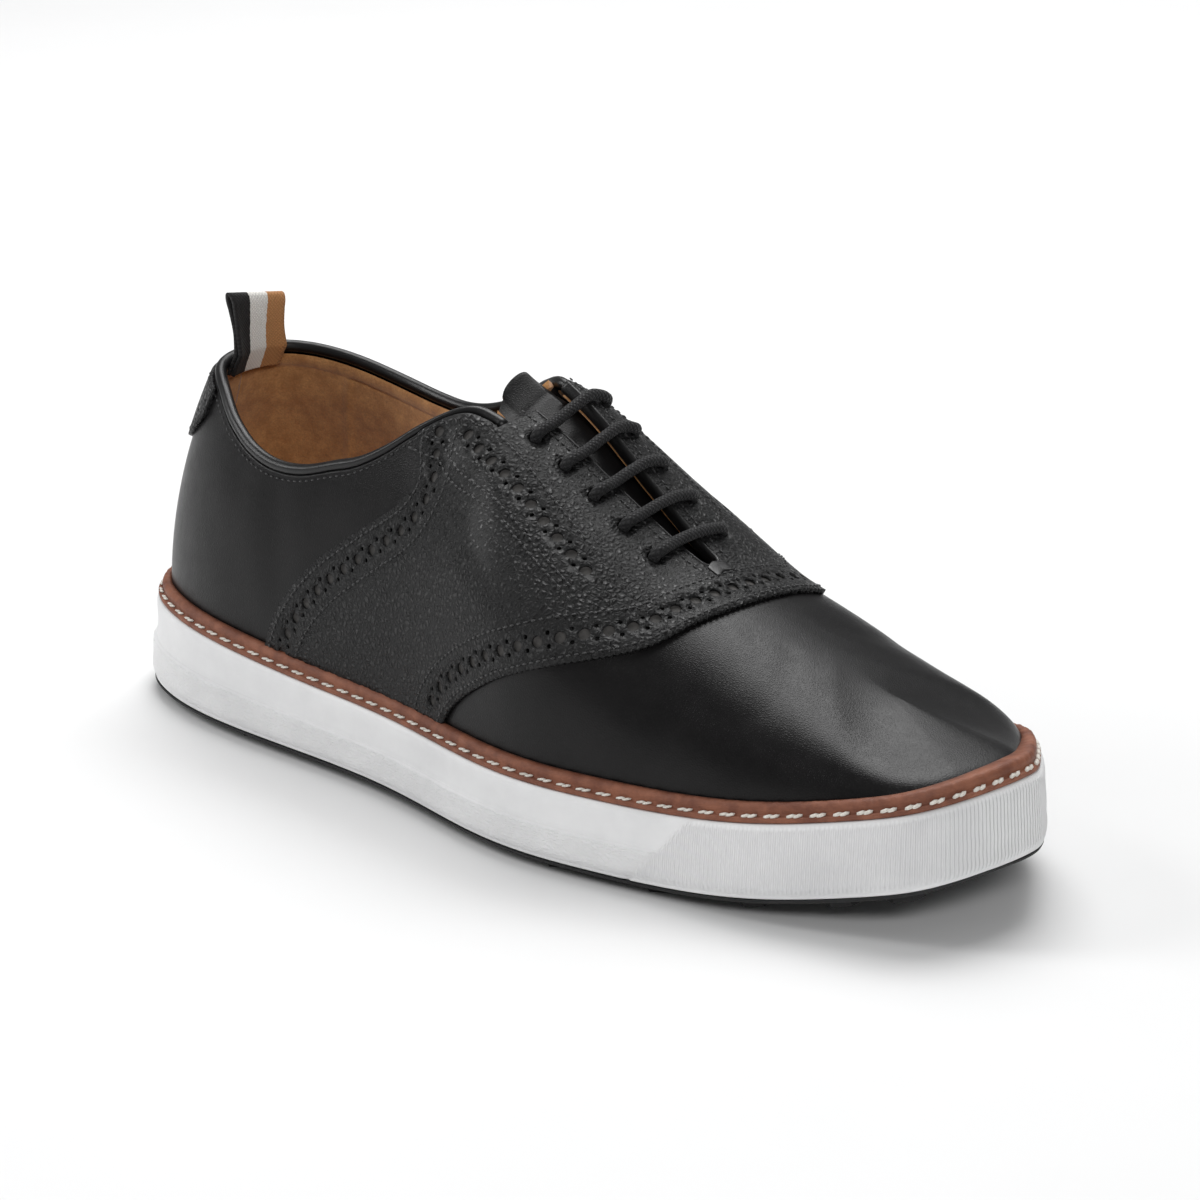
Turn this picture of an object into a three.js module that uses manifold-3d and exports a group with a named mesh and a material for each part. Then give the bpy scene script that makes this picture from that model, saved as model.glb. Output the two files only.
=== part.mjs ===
// A saddle shoe for the right foot, standing on its sole.
// Millimetres. +X runs to the toe, +Y to the inner (medial) side, +Z up.
// Every curved piece is worked out from one outline of the sole and one surface of the last.
import * as THREE from 'three';
import { mergeVertices } from 'three/addons/utils/BufferGeometryUtils.js';
import Module from 'manifold-3d';

const wasm = await Module();
wasm.setup();

// Driving dimensions
const soleLength = 305; // heel to toe along the seam between sole and welt
const ballWidth = 107; // across the ball of the foot at that seam
const heelHeight = 30; // floor to that seam at the heel
const toeSpring = 14.2; // lift of the sole at the tip of the toe
const instepHeight = 106.5; // floor to the middle of the laces
const collarHeight = 104; // floor to the collar at the back of the heel

// Thicknesses and widths that are set by themselves
const clearance = 0.3; // between pieces that touch
const upperWall = 2.2;
const overlayWall = 1.2; // saddle and heel tab
const upperInset = 3.9; // the upper stands this far inside the sole's edge
const weltRise = 4.9; // from the seam up to where the welt meets the upper
const bindingHeight = 3.4;
const bindingWidth = 3.6;
const whiteBottom = 4.15; // lower edge of the pale sidewall above the floor
const insoleThickness = 4;
const tongueThickness = 2.4;
const laceRadius = 1.65;
const eyeletRadius = 2.15;
const laceHalfThickness = 0.7; // where a run lies flat under the facing
const laceHalfWidth = 1.9;
const outsolePlate = 1.5;
const lugRadius = 5;
const restPadRadius = 13;
const tapeWidth = 19;
const tapeThickness = 1.3;
const tapeStand = 18; // how far the pull loop stands above the collar

// Half widths of the sole, as shares of ballWidth, every 15 degrees of turn from the heel
const outlineTable = [
  { turn: 0, outer: 0, inner: 0 },
  { turn: 15, outer: 0.2, inner: 0.198 },
  { turn: 30, outer: 0.314, inner: 0.308 },
  { turn: 45, outer: 0.378, inner: 0.355 },
  { turn: 60, outer: 0.396, inner: 0.346 },
  { turn: 75, outer: 0.406, inner: 0.327 },
  { turn: 90, outer: 0.466, inner: 0.336 },
  { turn: 105, outer: 0.493, inner: 0.421 },
  { turn: 120, outer: 0.434, inner: 0.496 },
  { turn: 135, outer: 0.364, inner: 0.474 },
  { turn: 150, outer: 0.275, inner: 0.39 },
  { turn: 165, outer: 0.15, inner: 0.211 },
  { turn: 180, outer: -0.077, inner: 0.077 },
];

// Top of the sole, as shares of heelHeight, along shares of the length
const rimTable = [
  { at: 0, rise: 1 },
  { at: 0.15, rise: 0.917 },
  { at: 0.3, rise: 0.82 },
  { at: 0.45, rise: 0.787 },
  { at: 0.6, rise: 0.787 },
  { at: 0.8, rise: 0.81 },
  { at: 1, rise: 0.833 },
];
const springStart = 0.7;

// Sections of the last from heel to toe: the height of its ridge and its lift on the inner
// side as shares of instepHeight, the ridge's drift to the inner side as a share of
// ballWidth, and how far each side leans in (above 0) or stands full (below 0)
const sectionTable = [
  { at: 0, ridge: 1.3, lift: 0, drift: 0, outerLean: 0.3, innerLean: 0.3 },
  { at: 0.1, ridge: 1.3, lift: 0, drift: 0, outerLean: 0.24, innerLean: 0.26 },
  { at: 0.2, ridge: 1.277, lift: 0, drift: 0, outerLean: 0.14, innerLean: 0.16 },
  { at: 0.3, ridge: 1.207, lift: 0.01, drift: 0, outerLean: 0.06, innerLean: 0.06 },
  { at: 0.4, ridge: 1.078, lift: 0.047, drift: 0, outerLean: -0.08, innerLean: -0.12 },
  { at: 0.5, ridge: 0.97, lift: 0.047, drift: 0, outerLean: -0.45, innerLean: -0.66 },
  { at: 0.6, ridge: 0.843, lift: 0.023, drift: 0.005, outerLean: -0.52, innerLean: -0.68 },
  { at: 0.7, ridge: 0.727, lift: 0, drift: 0.011, outerLean: -0.34, innerLean: -0.34 },
  { at: 0.8, ridge: 0.644, lift: 0, drift: 0.025, outerLean: -0.27, innerLean: -0.22 },
  { at: 0.9, ridge: 0.562, lift: 0, drift: 0.045, outerLean: -0.22, innerLean: -0.18 },
  { at: 1, ridge: 0.488, lift: 0, drift: 0.061, outerLean: -0.16, innerLean: -0.16 },
];
const ridgeHeel = -0.335; // ends of the ridge, as shares of the length from the middle
const ridgeToe = 0.367;
const ridgeToeSlope = 0.5; // share of the ridge's fall that is left at its toe end

// The collar's line on each side, as shares of collarHeight
const collarTable = [
  { at: 0, outer: 1, inner: 1.008 },
  { at: 0.06, outer: 0.956, inner: 1 },
  { at: 0.12, outer: 0.882, inner: 0.978 },
  { at: 0.16, outer: 0.841, inner: 0.957 },
  { at: 0.2, outer: 0.821, inner: 0.937 },
  { at: 0.24, outer: 0.829, inner: 0.922 },
  { at: 0.28, outer: 0.865, inner: 0.918 },
  { at: 0.31, outer: 0.894, inner: 0.933 },
  { at: 0.34, outer: 0.946, inner: 0.965 },
  { at: 0.37, outer: 1.02, inner: 1.013 },
  { at: 0.4, outer: 1.077, inner: 1.072 },
  { at: 0.43, outer: 1.071, inner: 1.11 },
  { at: 0.46, outer: 1.046, inner: 1.092 },
];
const throatTopTurn = 84; // where the collar turns into the throat
const throatEndTurn = 114; // where the throat closes
const throatTopGap = 6.6; // half the gap between the facings, top and bottom
const throatEndGap = 3.2;

// Side view of the saddle: along is a share of soleLength from the middle and up a share
// of instepHeight, from the collar down the rear edge, then up the front edge to the ridge
const saddleTable = [
  { along: -0.111, up: 1.4 },
  { along: -0.101, up: 0.98 },
  { along: -0.093, up: 0.909 },
  { along: -0.085, up: 0.85 },
  { along: -0.094, up: 0.793 },
  { along: -0.145, up: 0.678 },
  { along: -0.192, up: 0.569 },
  { along: -0.233, up: 0.436 },
  { along: -0.254, up: 0.309 },
  { along: -0.254, up: 0.12 },
  { along: -0.003, up: 0.12 },
  { along: 0.001, up: 0.283 },
  { along: 0.012, up: 0.331 },
  { along: 0.046, up: 0.408 },
  { along: 0.08, up: 0.467 },
  { along: 0.143, up: 0.542 },
  { along: 0.199, up: 0.591 },
  { along: 0.214, up: 0.628 },
  { along: 0.214, up: 1.4 },
];
const saddleSlant = 0.1; // the edges run forward by this much for each step to the inner side

// Back view of half the heel tab: across is a share of ballWidth, up a share of collarHeight
const heelTabTable = [
  { across: 0.205, up: 1.2 },
  { across: 0.205, up: 0.85 },
  { across: 0.19, up: 0.785 },
  { across: 0.155, up: 0.748 },
  { across: 0.085, up: 0.728 },
];

// Sidewall of the sole from its lower edge up: outward steps in millimetres, behind and in
// front of the slanting joint, at shares of the wall's height
const sidewallTable = [
  { at: 0, behind: 1.9, front: 2.1 },
  { at: 0.04, behind: 2.8, front: 2.8 },
  { at: 0.46, behind: 2.6, front: 2.4 },
  { at: 0.5, behind: 1.2, front: 2.3 },
  { at: 0.8, behind: 0.6, front: 1.7 },
  { at: 0.95, behind: 0.3, front: 1.2 },
  { at: 1, behind: -0.8, front: -0.3 },
];
const jointBottom = 0.217; // the joint's ends, as shares of the length from the middle
const jointTop = 0.277;

// Welt, from its outer foot up over its bead: inset from the sole's edge and rise, millimetres
const weltTable = [
  { inset: 0, rise: 0 },
  { inset: 0, rise: 1.5 },
  { inset: 1.1, rise: 2 },
  { inset: 1.6, rise: 4.1 },
  { inset: 2.4, rise: 5 },
];

// Rows of eyelets from the toe end up, as shares of the length from the middle
const eyeletRows = [0.139, 0.104, 0.069, 0.035, 0];
const eyeletReach = 13.8; // from the middle of the throat to an eyelet
// Hidden runs of the straight-bar lacing, as rows; two runs that lie together are one strip
const hiddenRuns = [
  { side: 'inner', from: 0, to: 1 },
  { side: 'outer', from: 0, to: 3 },
  { side: 'inner', from: 2, to: 4 },
];

// Tongue: where it starts, comes free and ends, as shares along the ridge
const tongueBottom = 0.78;
const tongueFree = 0.442;
const tongueTop = 0.4;
const tongueHalfWidth = 25;
const tongueRise = 1.5; // how far its free end stands up in the middle
const tongueDepth = upperWall + 4 * clearance + 2 * laceHalfThickness; // below the last

// Tread: rings of lugs, with each ring's inset from the sole's edge and its turns
const lugRings = [
  { inset: 8, first: 12, last: 52, step: 20 },
  { inset: 8, first: 92, last: 157, step: 13 },
  { inset: 27, first: 108, last: 144, step: 18 },
];
const restPads = [-0.37, 0.13]; // shares of the length from the middle

const columnStep = 6; // degrees of turn between sections
const toeTurn = 144; // from here the sections round the toe stand twice as close
const wallRows = 7; // rows between the welt and the collar
const radians = Math.PI / 180;
const halfLength = soleLength / 2;

// A smooth curve through one column of a table
function through(table, column, at, endSlope = 1) {
  const last = table.length - 1;
  const x = Math.min(Math.max(at, table[0].at), table[last].at);
  let i = 0;
  while (i < last - 1 && x >= table[i + 1].at) i += 1;
  const fall = (k) => (table[k + 1][column] - table[k][column]) / (table[k + 1].at - table[k].at);
  const slope = (k) => {
    if (k === 0) return fall(0);
    if (k === last) return fall(last - 1) * endSlope;
    const before = table[k].at - table[k - 1].at;
    const after = table[k + 1].at - table[k].at;
    return (fall(k - 1) * after + fall(k) * before) / (before + after);
  };
  const span = table[i + 1].at - table[i].at;
  const t = (x - table[i].at) / span;
  const s = 1 - t;
  return (1 + 2 * t) * s * s * table[i][column] + t * s * s * span * slope(i)
    + t * t * (3 - 2 * t) * table[i + 1][column] - t * t * s * span * slope(i + 1);
}

// The outline's half widths all the way round, joined by a sum of waves
const aroundHeelToToe = outlineTable.map((row) => -row.outer * ballWidth);
const aroundToeToHeel = outlineTable.slice(1, -1).reverse().map((row) => row.inner * ballWidth);
const widths = [...aroundHeelToToe, ...aroundToeToHeel];
const waves = widths.slice(0, widths.length / 2 + 1).map((_, wave) => {
  let cosine = 0;
  let sine = 0;
  widths.forEach((width, i) => {
    const angle = (2 * Math.PI * wave * i) / widths.length;
    cosine += (width * Math.cos(angle)) / widths.length;
    sine += (width * Math.sin(angle)) / widths.length;
  });
  const both = wave === 0 || wave === widths.length / 2 ? 1 : 2;
  return { wave, cosine: cosine * both, sine: sine * both };
});

// A point of the sole's outline at a turn in degrees, moved outward by grow
function outline(turn, grow = 0) {
  const u = turn * radians;
  let y = 0;
  let dy = 0;
  for (const { wave, cosine, sine } of waves) {
    y += cosine * Math.cos(wave * u) + sine * Math.sin(wave * u);
    dy += wave * (sine * Math.cos(wave * u) - cosine * Math.sin(wave * u));
  }
  const dx = halfLength * Math.sin(u);
  const size = Math.hypot(dx, dy);
  return { x: -halfLength * Math.cos(u) + (dy / size) * grow, y: y - (dx / size) * grow };
}

function lengthShare(x) {
  return (x + halfLength) / soleLength;
}

function springAt(x) {
  const t = Math.min(Math.max((lengthShare(x) - springStart) / (1 - springStart), 0), 1);
  return toeSpring * t * t;
}

function rimAt(x) {
  return heelHeight * through(rimTable, 'rise', lengthShare(x)) + springAt(x);
}

function isOuter(turn) {
  return Math.sin(turn * radians) >= 0;
}

function foot(turn) {
  const { x, y } = outline(turn, -upperInset);
  return new THREE.Vector3(x, y, rimAt(x) + clearance);
}

function ridgeShare(turn) {
  return (1 - Math.cos(turn * radians)) / 2;
}

function ridge(turn) {
  const at = ridgeShare(turn);
  const lift = isOuter(turn) ? 0 : Math.max(through(sectionTable, 'lift', at), 0);
  const height = through(sectionTable, 'ridge', at, ridgeToeSlope) + lift;
  return new THREE.Vector3(
    soleLength * (ridgeHeel + (ridgeToe - ridgeHeel) * at),
    ballWidth * through(sectionTable, 'drift', at),
    instepHeight * height,
  );
}

// How far the ridge rises for each step forward
function ridgeSlope(turn) {
  const step = 0.01;
  const behind = Math.max(ridgeShare(turn) - step, 0);
  const ahead = Math.min(ridgeShare(turn) + step, 1);
  const height = (at) => instepHeight * through(sectionTable, 'ridge', at, ridgeToeSlope);
  return (height(ahead) - height(behind)) / ((ahead - behind) * soleLength * (ridgeToe - ridgeHeel));
}

// The last: turn runs round it and rise from 0 at the sole to 90 degrees on the ridge
function last(turn, rise) {
  const bottom = foot(turn);
  const top = ridge(turn);
  const lean = through(sectionTable, isOuter(turn) ? 'outerLean' : 'innerLean', ridgeShare(turn));
  const up = Math.sin(rise * radians);
  const reach = Math.cos(rise * radians) * (1 - lean * up * up);
  const ahead = (bottom.x - top.x) * reach;
  return new THREE.Vector3(
    top.x + ahead,
    top.y + (bottom.y - top.y) * reach,
    bottom.z + (top.z - bottom.z) * up + ridgeSlope(turn) * ahead * up * up,
  );
}

function lastNormal(turn, rise) {
  const step = 0.05;
  if (rise > 90 - step) return new THREE.Vector3(-ridgeSlope(turn), 0, 1).normalize();
  const around = last(turn + step, rise).sub(last(turn - step, rise));
  const upward = last(turn, rise + step).sub(last(turn, rise - step));
  return around.cross(upward).normalize();
}

// A point a distance out from the last along its normal
function offLast(turn, rise, distance) {
  return last(turn, rise).addScaledVector(lastNormal(turn, rise), distance);
}

// Finds where a rising value first reaches a target
function solve(value, target, low, high) {
  let a = low;
  let b = high;
  for (let i = 0; i < 40; i += 1) {
    const middle = (a + b) / 2;
    if (value(middle) < target) a = middle;
    else b = middle;
  }
  return (a + b) / 2;
}

// The rise at which the last is this high above the sole's seam
function riseAtHeight(turn, height) {
  const bottom = foot(turn);
  return solve((rise) => last(turn, rise).z - bottom.z, height, 0, 90);
}

// The rise at which the last is this close to its middle line
function riseAtReach(turn, reach) {
  const middle = ridge(turn).y;
  return solve((rise) => -Math.abs(last(turn, rise).y - middle), -reach, 30, 90);
}

function turnAtShare(at) {
  return Math.acos(1 - 2 * at) / radians;
}

function mirrorTurn(turn) {
  return 360 - turn;
}

// Where the upper's wall ends at each turn: at the collar, at the throat or on the ridge
function openTop(turn) {
  const near = Math.min(turn, mirrorTurn(turn));
  if (near >= throatEndTurn) return 90;
  if (near > throatTopTurn) {
    const t = (near - throatTopTurn) / (throatEndTurn - throatTopTurn);
    return riseAtReach(turn, throatTopGap + (throatEndGap - throatTopGap) * t);
  }
  const column = isOuter(turn) ? 'outer' : 'inner';
  const height = collarHeight * through(collarTable, column, ridgeShare(turn));
  const limit = solve((rise) => last(turn, rise).z, height, 0, 90);
  return Math.min(limit, riseAtReach(turn, throatTopGap));
}

// The collar's wall stops below its binding
function wallTop(turn) {
  const top = openTop(turn);
  const near = Math.min(turn, mirrorTurn(turn));
  if (near > throatTopTurn) return top;
  return top - bindingHeight / last(turn, top - 1).distanceTo(last(turn, top));
}

function allTurns() {
  const turns = new Set([throatTopTurn, throatEndTurn - 1.5]);
  for (let turn = 0; turn <= 180; turn += columnStep) turns.add(turn);
  for (let turn = toeTurn; turn < 180; turn += columnStep) turns.add(turn + columnStep / 2);
  const oneSide = [...turns].sort((a, b) => a - b);
  const other = oneSide.slice(1, -1).reverse().map(mirrorTurn);
  return [...oneSide, ...other];
}

// Rises of the wall's rows at a turn, from the sole to the top edge
function wallRises(turn) {
  const weltTop = Math.max(...weltTable.map((row) => row.rise));
  const low = riseAtHeight(turn, weltTop + 2 * clearance);
  const top = wallTop(turn);
  const high = top - 2.4 / last(turn, top - 1).distanceTo(last(turn, top));
  const rises = [0];
  for (let row = 0; row <= wallRows; row += 1) rises.push(low + ((high - low) * row) / wallRows);
  rises.push(top);
  return rises;
}

// A closed mesh from points and triangles, with doubles joined and flat slivers dropped
function meshFrom(points, triangles) {
  const geometry = new THREE.BufferGeometry();
  const flat = points.flatMap((point) => [point.x, point.y, point.z]);
  geometry.setAttribute('position', new THREE.Float32BufferAttribute(flat, 3));
  geometry.setIndex(triangles.flat());
  const merged = mergeVertices(geometry, 1e-4);
  const index = merged.getIndex().array;
  const kept = [];
  for (let i = 0; i < index.length; i += 3) {
    const [a, b, c] = [index[i], index[i + 1], index[i + 2]];
    if (a !== b && b !== c && a !== c) kept.push(a, b, c);
  }
  merged.setIndex(kept);
  return merged;
}

function toManifold(geometry) {
  const bare = geometry.clone();
  bare.deleteAttribute('normal');
  bare.deleteAttribute('uv');
  const merged = mergeVertices(bare, 1e-4);
  const vertProperties = new Float32Array(merged.getAttribute('position').array);
  const triVerts = new Uint32Array(merged.getIndex().array);
  return new wasm.Manifold(new wasm.Mesh({ numProp: 3, vertProperties, triVerts }));
}

function toGeometry(solid) {
  const mesh = solid.getMesh();
  const geometry = new THREE.BufferGeometry();
  geometry.setAttribute('position', new THREE.BufferAttribute(mesh.vertProperties, 3));
  geometry.setIndex(new THREE.BufferAttribute(mesh.triVerts, 1));
  return geometry;
}

// A wall round the last between two distances from it; closed where the sides meet on the ridge
function lastShell(turns, risesAt, outside, inside) {
  const points = [];
  const triangles = [];
  const rows = risesAt(turns[0]).length;
  for (const turn of turns) {
    const rises = risesAt(turn);
    for (const rise of rises) points.push(offLast(turn, rise, outside));
    for (const rise of rises) points.push(offLast(turn, rise, inside));
  }
  const out = (column, row) => (column % turns.length) * rows * 2 + row;
  const within = (column, row) => out(column, row) + rows;
  const quad = (a, b, c, d) => triangles.push([a, b, c], [a, c, d]);
  turns.forEach((turn, i) => {
    for (let row = 0; row < rows - 1; row += 1) {
      quad(out(i, row), out(i + 1, row), out(i + 1, row + 1), out(i, row + 1));
      quad(within(i, row), within(i, row + 1), within(i + 1, row + 1), within(i + 1, row));
    }
    quad(out(i, 0), within(i, 0), within(i + 1, 0), out(i + 1, 0));
    const next = turns[(i + 1) % turns.length];
    const meets = [turn, next].every((each) => Math.min(each, mirrorTurn(each)) >= throatEndTurn);
    if (meets) return;
    const top = rows - 1;
    quad(out(i, top), out(i + 1, top), within(i + 1, top), within(i, top));
  });
  return meshFrom(points, triangles);
}

// A solid of stacked closed rings, flat across its first and its last ring
function ringStack(rings) {
  const count = rings[0].length;
  const points = rings.flat();
  const triangles = [];
  const at = (ring, i) => ring * count + (i % count);
  for (let ring = 0; ring < rings.length - 1; ring += 1) {
    for (let i = 0; i < count; i += 1) {
      triangles.push([at(ring, i), at(ring, i + 1), at(ring + 1, i + 1)]);
      triangles.push([at(ring, i), at(ring + 1, i + 1), at(ring + 1, i)]);
    }
  }
  for (let i = 0; i < count / 2; i += 1) {
    const across = [i, i + 1, count - 1 - i, count - i].map((k) => k % count);
    const [a, b, c, d] = across;
    triangles.push([a, c, b], [a, d, c]);
    const top = (rings.length - 1) * count;
    triangles.push([top + a, top + b, top + c], [top + a, top + c, top + d]);
  }
  return meshFrom(points, triangles);
}

// A tube of closed sections that meets itself, or ends in flat caps
function loft(sections, closed) {
  const count = sections[0].length;
  const points = sections.flat();
  const triangles = [];
  const steps = closed ? sections.length : sections.length - 1;
  const at = (section, i) => (section % sections.length) * count + (i % count);
  for (let section = 0; section < steps; section += 1) {
    for (let i = 0; i < count; i += 1) {
      triangles.push([at(section, i), at(section, i + 1), at(section + 1, i + 1)]);
      triangles.push([at(section, i), at(section + 1, i + 1), at(section + 1, i)]);
    }
  }
  if (!closed) {
    for (let i = 1; i < count - 1; i += 1) {
      triangles.push([at(0, 0), at(0, i + 1), at(0, i)]);
      const end = sections.length - 1;
      triangles.push([at(end, 0), at(end, i), at(end, i + 1)]);
    }
  }
  return meshFrom(points, triangles);
}

// Points of an oval about a centre
function oval(centre, wide, halfWide, high, halfHigh, sides) {
  return Array.from({ length: sides }, (_, i) => {
    const angle = ((i + 0.5) * 2 * Math.PI) / sides;
    return centre.clone()
      .addScaledVector(wide, halfWide * Math.cos(angle))
      .addScaledVector(high, halfHigh * Math.sin(angle));
  });
}

// A cord of oval section along points, each with its own up direction
function cord(stations, halfWide, halfHigh, sides) {
  const sections = stations.map((station, i) => {
    const before = stations[Math.max(i - 1, 0)].point;
    const after = stations[Math.min(i + 1, stations.length - 1)].point;
    const along = after.clone().sub(before).normalize();
    const wide = station.side.clone().addScaledVector(along, -station.side.dot(along)).normalize();
    const high = along.clone().cross(wide);
    return oval(station.point, wide, halfWide, high, halfHigh, sides);
  });
  return loft(sections, false);
}

// A prism along Y from points of the side view, slanted forward to the inner side
function sidePrism(points, slant) {
  const shape = new THREE.Shape(points.map(({ x, z }) => new THREE.Vector2(x, z)));
  const geometry = new THREE.ExtrudeGeometry(shape, { depth: ballWidth * 1.4, bevelEnabled: false });
  geometry.translate(0, 0, -ballWidth * 0.7);
  geometry.rotateX(Math.PI / 2);
  const position = geometry.getAttribute('position');
  for (let i = 0; i < position.count; i += 1) {
    position.setX(i, position.getX(i) + slant * position.getY(i));
  }
  return geometry;
}

// The turn and rise of a place on a facing, at a share of the length and a reach from the gap
function facingPlace(along, side, reach) {
  const sided = (turn) => (side === 'outer' ? turn : mirrorTurn(turn));
  const placeOf = (turn) => last(sided(turn), riseAtReach(sided(turn), reach));
  const turn = sided(solve((each) => placeOf(each).x, along * soleLength, 60, throatEndTurn));
  return { turn, rise: riseAtReach(turn, reach) };
}

// Where an eyelet goes through the facing, with the facing's own normal there
function eyelet(row, side) {
  const { turn, rise } = facingPlace(eyeletRows[row], side, eyeletReach);
  return { point: last(turn, rise), normal: lastNormal(turn, rise) };
}

function eyeletCutters() {
  const cutters = [];
  eyeletRows.forEach((_, row) => {
    for (const side of ['outer', 'inner']) {
      const { point, normal } = eyelet(row, side);
      const cutter = new THREE.CylinderGeometry(eyeletRadius, eyeletRadius, 12, 8);
      const turnTo = new THREE.Quaternion().setFromUnitVectors(new THREE.Vector3(0, 1, 0), normal);
      cutter.applyQuaternion(turnTo);
      cutter.translate(point.x, point.y, point.z);
      cutters.push(toManifold(cutter));
    }
  });
  return cutters;
}

function withEyelets(solid) {
  return eyeletCutters().reduce((cut, cutter) => cut.subtract(cutter), solid);
}

function upperGeometry() {
  const shell = lastShell(allTurns(), wallRises, 0, -upperWall);
  return toGeometry(withEyelets(toManifold(shell)));
}

// The overlays follow the upper's own rows above the welt
function overlayShell() {
  const risesAt = (turn) => {
    const rises = wallRises(turn).slice(1);
    const closed = Math.min(turn, mirrorTurn(turn)) >= throatEndTurn;
    if (!closed) rises[rises.length - 1] = rises[rises.length - 2];
    return rises;
  };
  const near = clearance;
  return toManifold(lastShell(allTurns(), risesAt, near + overlayWall, near));
}

function saddleGeometry() {
  const edge = saddleTable.map(({ along, up }) => ({ x: along * soleLength, z: up * instepHeight }));
  const panel = overlayShell().intersect(toManifold(sidePrism(edge, saddleSlant)));
  return toGeometry(withEyelets(panel));
}

function heelTabGeometry() {
  const half = heelTabTable.map(({ across, up }) => [across * ballWidth, up * collarHeight]);
  const other = half.map(([y, z]) => [-y, z]).reverse();
  const shape = new THREE.Shape([...half, ...other].map(([y, z]) => new THREE.Vector2(y, z)));
  const depth = soleLength * 0.35;
  const prism = new THREE.ExtrudeGeometry(shape, { depth, bevelEnabled: false });
  prism.rotateX(Math.PI / 2);
  prism.rotateZ(Math.PI / 2);
  prism.translate(-halfLength * 1.25, 0, 0);
  return toGeometry(overlayShell().intersect(toManifold(prism)));
}

// Turns along the collar from the outer corner of the throat round the heel to the inner one
function collarTurns() {
  const oneSide = allTurns().filter((turn) => turn > 0 && turn <= throatTopTurn);
  return [...[...oneSide].reverse(), 0, ...oneSide.map(mirrorTurn)];
}

function bindingGeometry() {
  const sections = collarTurns().map((turn) => {
    const top = wallTop(turn);
    const up = last(turn, top).sub(last(turn, top - 0.5)).normalize();
    const out = lastNormal(turn, top);
    const centre = offLast(turn, top, -upperWall / 2)
      .addScaledVector(up, clearance + bindingHeight / 2);
    return oval(centre, out, bindingWidth / 2, up, bindingHeight / 2, 8);
  });
  return loft(sections, false);
}

// A point of the tongue: under the facings, with its free end rising in the middle
function tonguePoint(at, across, depth) {
  const over = turnAtShare(at);
  const turn = across < 0 ? over : mirrorTurn(over);
  const flat = 7;
  const reach = Math.max(Math.abs(across), flat);
  const under = offLast(turn, riseAtReach(turn, reach), -depth);
  const opposite = mirrorTurn(turn);
  const facing = offLast(opposite, riseAtReach(opposite, reach), -depth);
  const share = Math.abs(across) < flat ? (1 - Math.abs(across) / flat) / 2 : 0;
  const point = under.lerp(facing, share);
  const free = Math.min(Math.max((tongueFree - at) / (tongueFree - tongueTop), 0), 1);
  const crown = Math.max(1 - (across / tongueHalfWidth) ** 2 * 6, 0);
  point.z += tongueRise * free * free * crown;
  return point;
}

function tongueGeometry() {
  const stations = 11;
  const across = [-1, -0.75, -0.5, -0.28, 0, 0.28, 0.5, 0.75, 1];
  const sections = Array.from({ length: stations + 1 }, (_, i) => {
    const at = tongueBottom + ((tongueTop - tongueBottom) * i) / stations;
    const cornerShares = { 0: 0.72, [stations - 1]: 0.94, [stations]: 0.68 };
    const width = tongueHalfWidth * (cornerShares[i] ?? 1);
    const top = across.map((share) => tonguePoint(at, share * width, tongueDepth));
    const bottomDepth = tongueDepth + tongueThickness;
    const bottom = across.map((share) => tonguePoint(at, share * width, bottomDepth));
    return [...top, ...bottom.reverse()];
  });
  return loft(sections, false);
}

// The insole lies along the inside of the upper's lowest row
function insoleGeometry() {
  const inside = -(upperWall + 2 * clearance);
  const turns = allTurns();
  const low = turns.map((turn) => offLast(turn, 0, inside));
  const high = turns.map((turn, i) => {
    const above = offLast(turn, wallRises(turn)[1], inside);
    return low[i].clone().lerp(above, Math.min(insoleThickness / (above.z - low[i].z), 1));
  });
  return ringStack([low, high]);
}

function weltGeometry() {
  const sections = allTurns().map((turn) => {
    const seam = rimAt(outline(turn).x) + clearance;
    const outer = weltTable.map(({ inset, rise }) => {
      const { x, y } = outline(turn, -inset);
      return new THREE.Vector3(x, y, seam + rise);
    });
    const top = offLast(turn, riseAtHeight(turn, weltRise), clearance);
    const bottom = offLast(turn, riseAtHeight(turn, 0.02), clearance);
    return [...outer, top, bottom].reverse();
  });
  return loft(sections, true);
}

// Turns of the sidewall at a height: two of them follow the slanting joint on each side
function sidewallTurns(height) {
  const x = soleLength * (jointBottom + (jointTop - jointBottom) * height);
  const joint = Math.acos(-x / halfLength) / radians;
  const before = 108;
  const after = 132;
  const turns = [];
  for (let turn = 0; turn <= before; turn += columnStep) turns.push({ turn, front: false });
  turns.push({ turn: (before + joint) / 2, front: false });
  turns.push({ turn: joint - 0.3, front: false });
  turns.push({ turn: joint + 0.3, front: true });
  turns.push({ turn: (joint + after) / 2, front: true });
  for (let turn = after; turn < toeTurn; turn += columnStep) turns.push({ turn, front: true });
  for (let turn = toeTurn; turn <= 180; turn += columnStep / 2) turns.push({ turn, front: true });
  const other = turns.slice(1, -1).reverse().map(({ turn, front }) => (
    { turn: mirrorTurn(turn), front }
  ));
  return [...turns, ...other];
}

function midsoleGeometry() {
  const rings = sidewallTable.map(({ at, behind, front }) => (
    sidewallTurns(at).map((place) => {
      const { x, y } = outline(place.turn, place.front ? front : behind);
      const base = outline(place.turn).x;
      const low = whiteBottom + springAt(base);
      return new THREE.Vector3(x, y, low + (rimAt(base) - low) * at);
    })
  ));
  return ringStack(rings);
}

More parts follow.
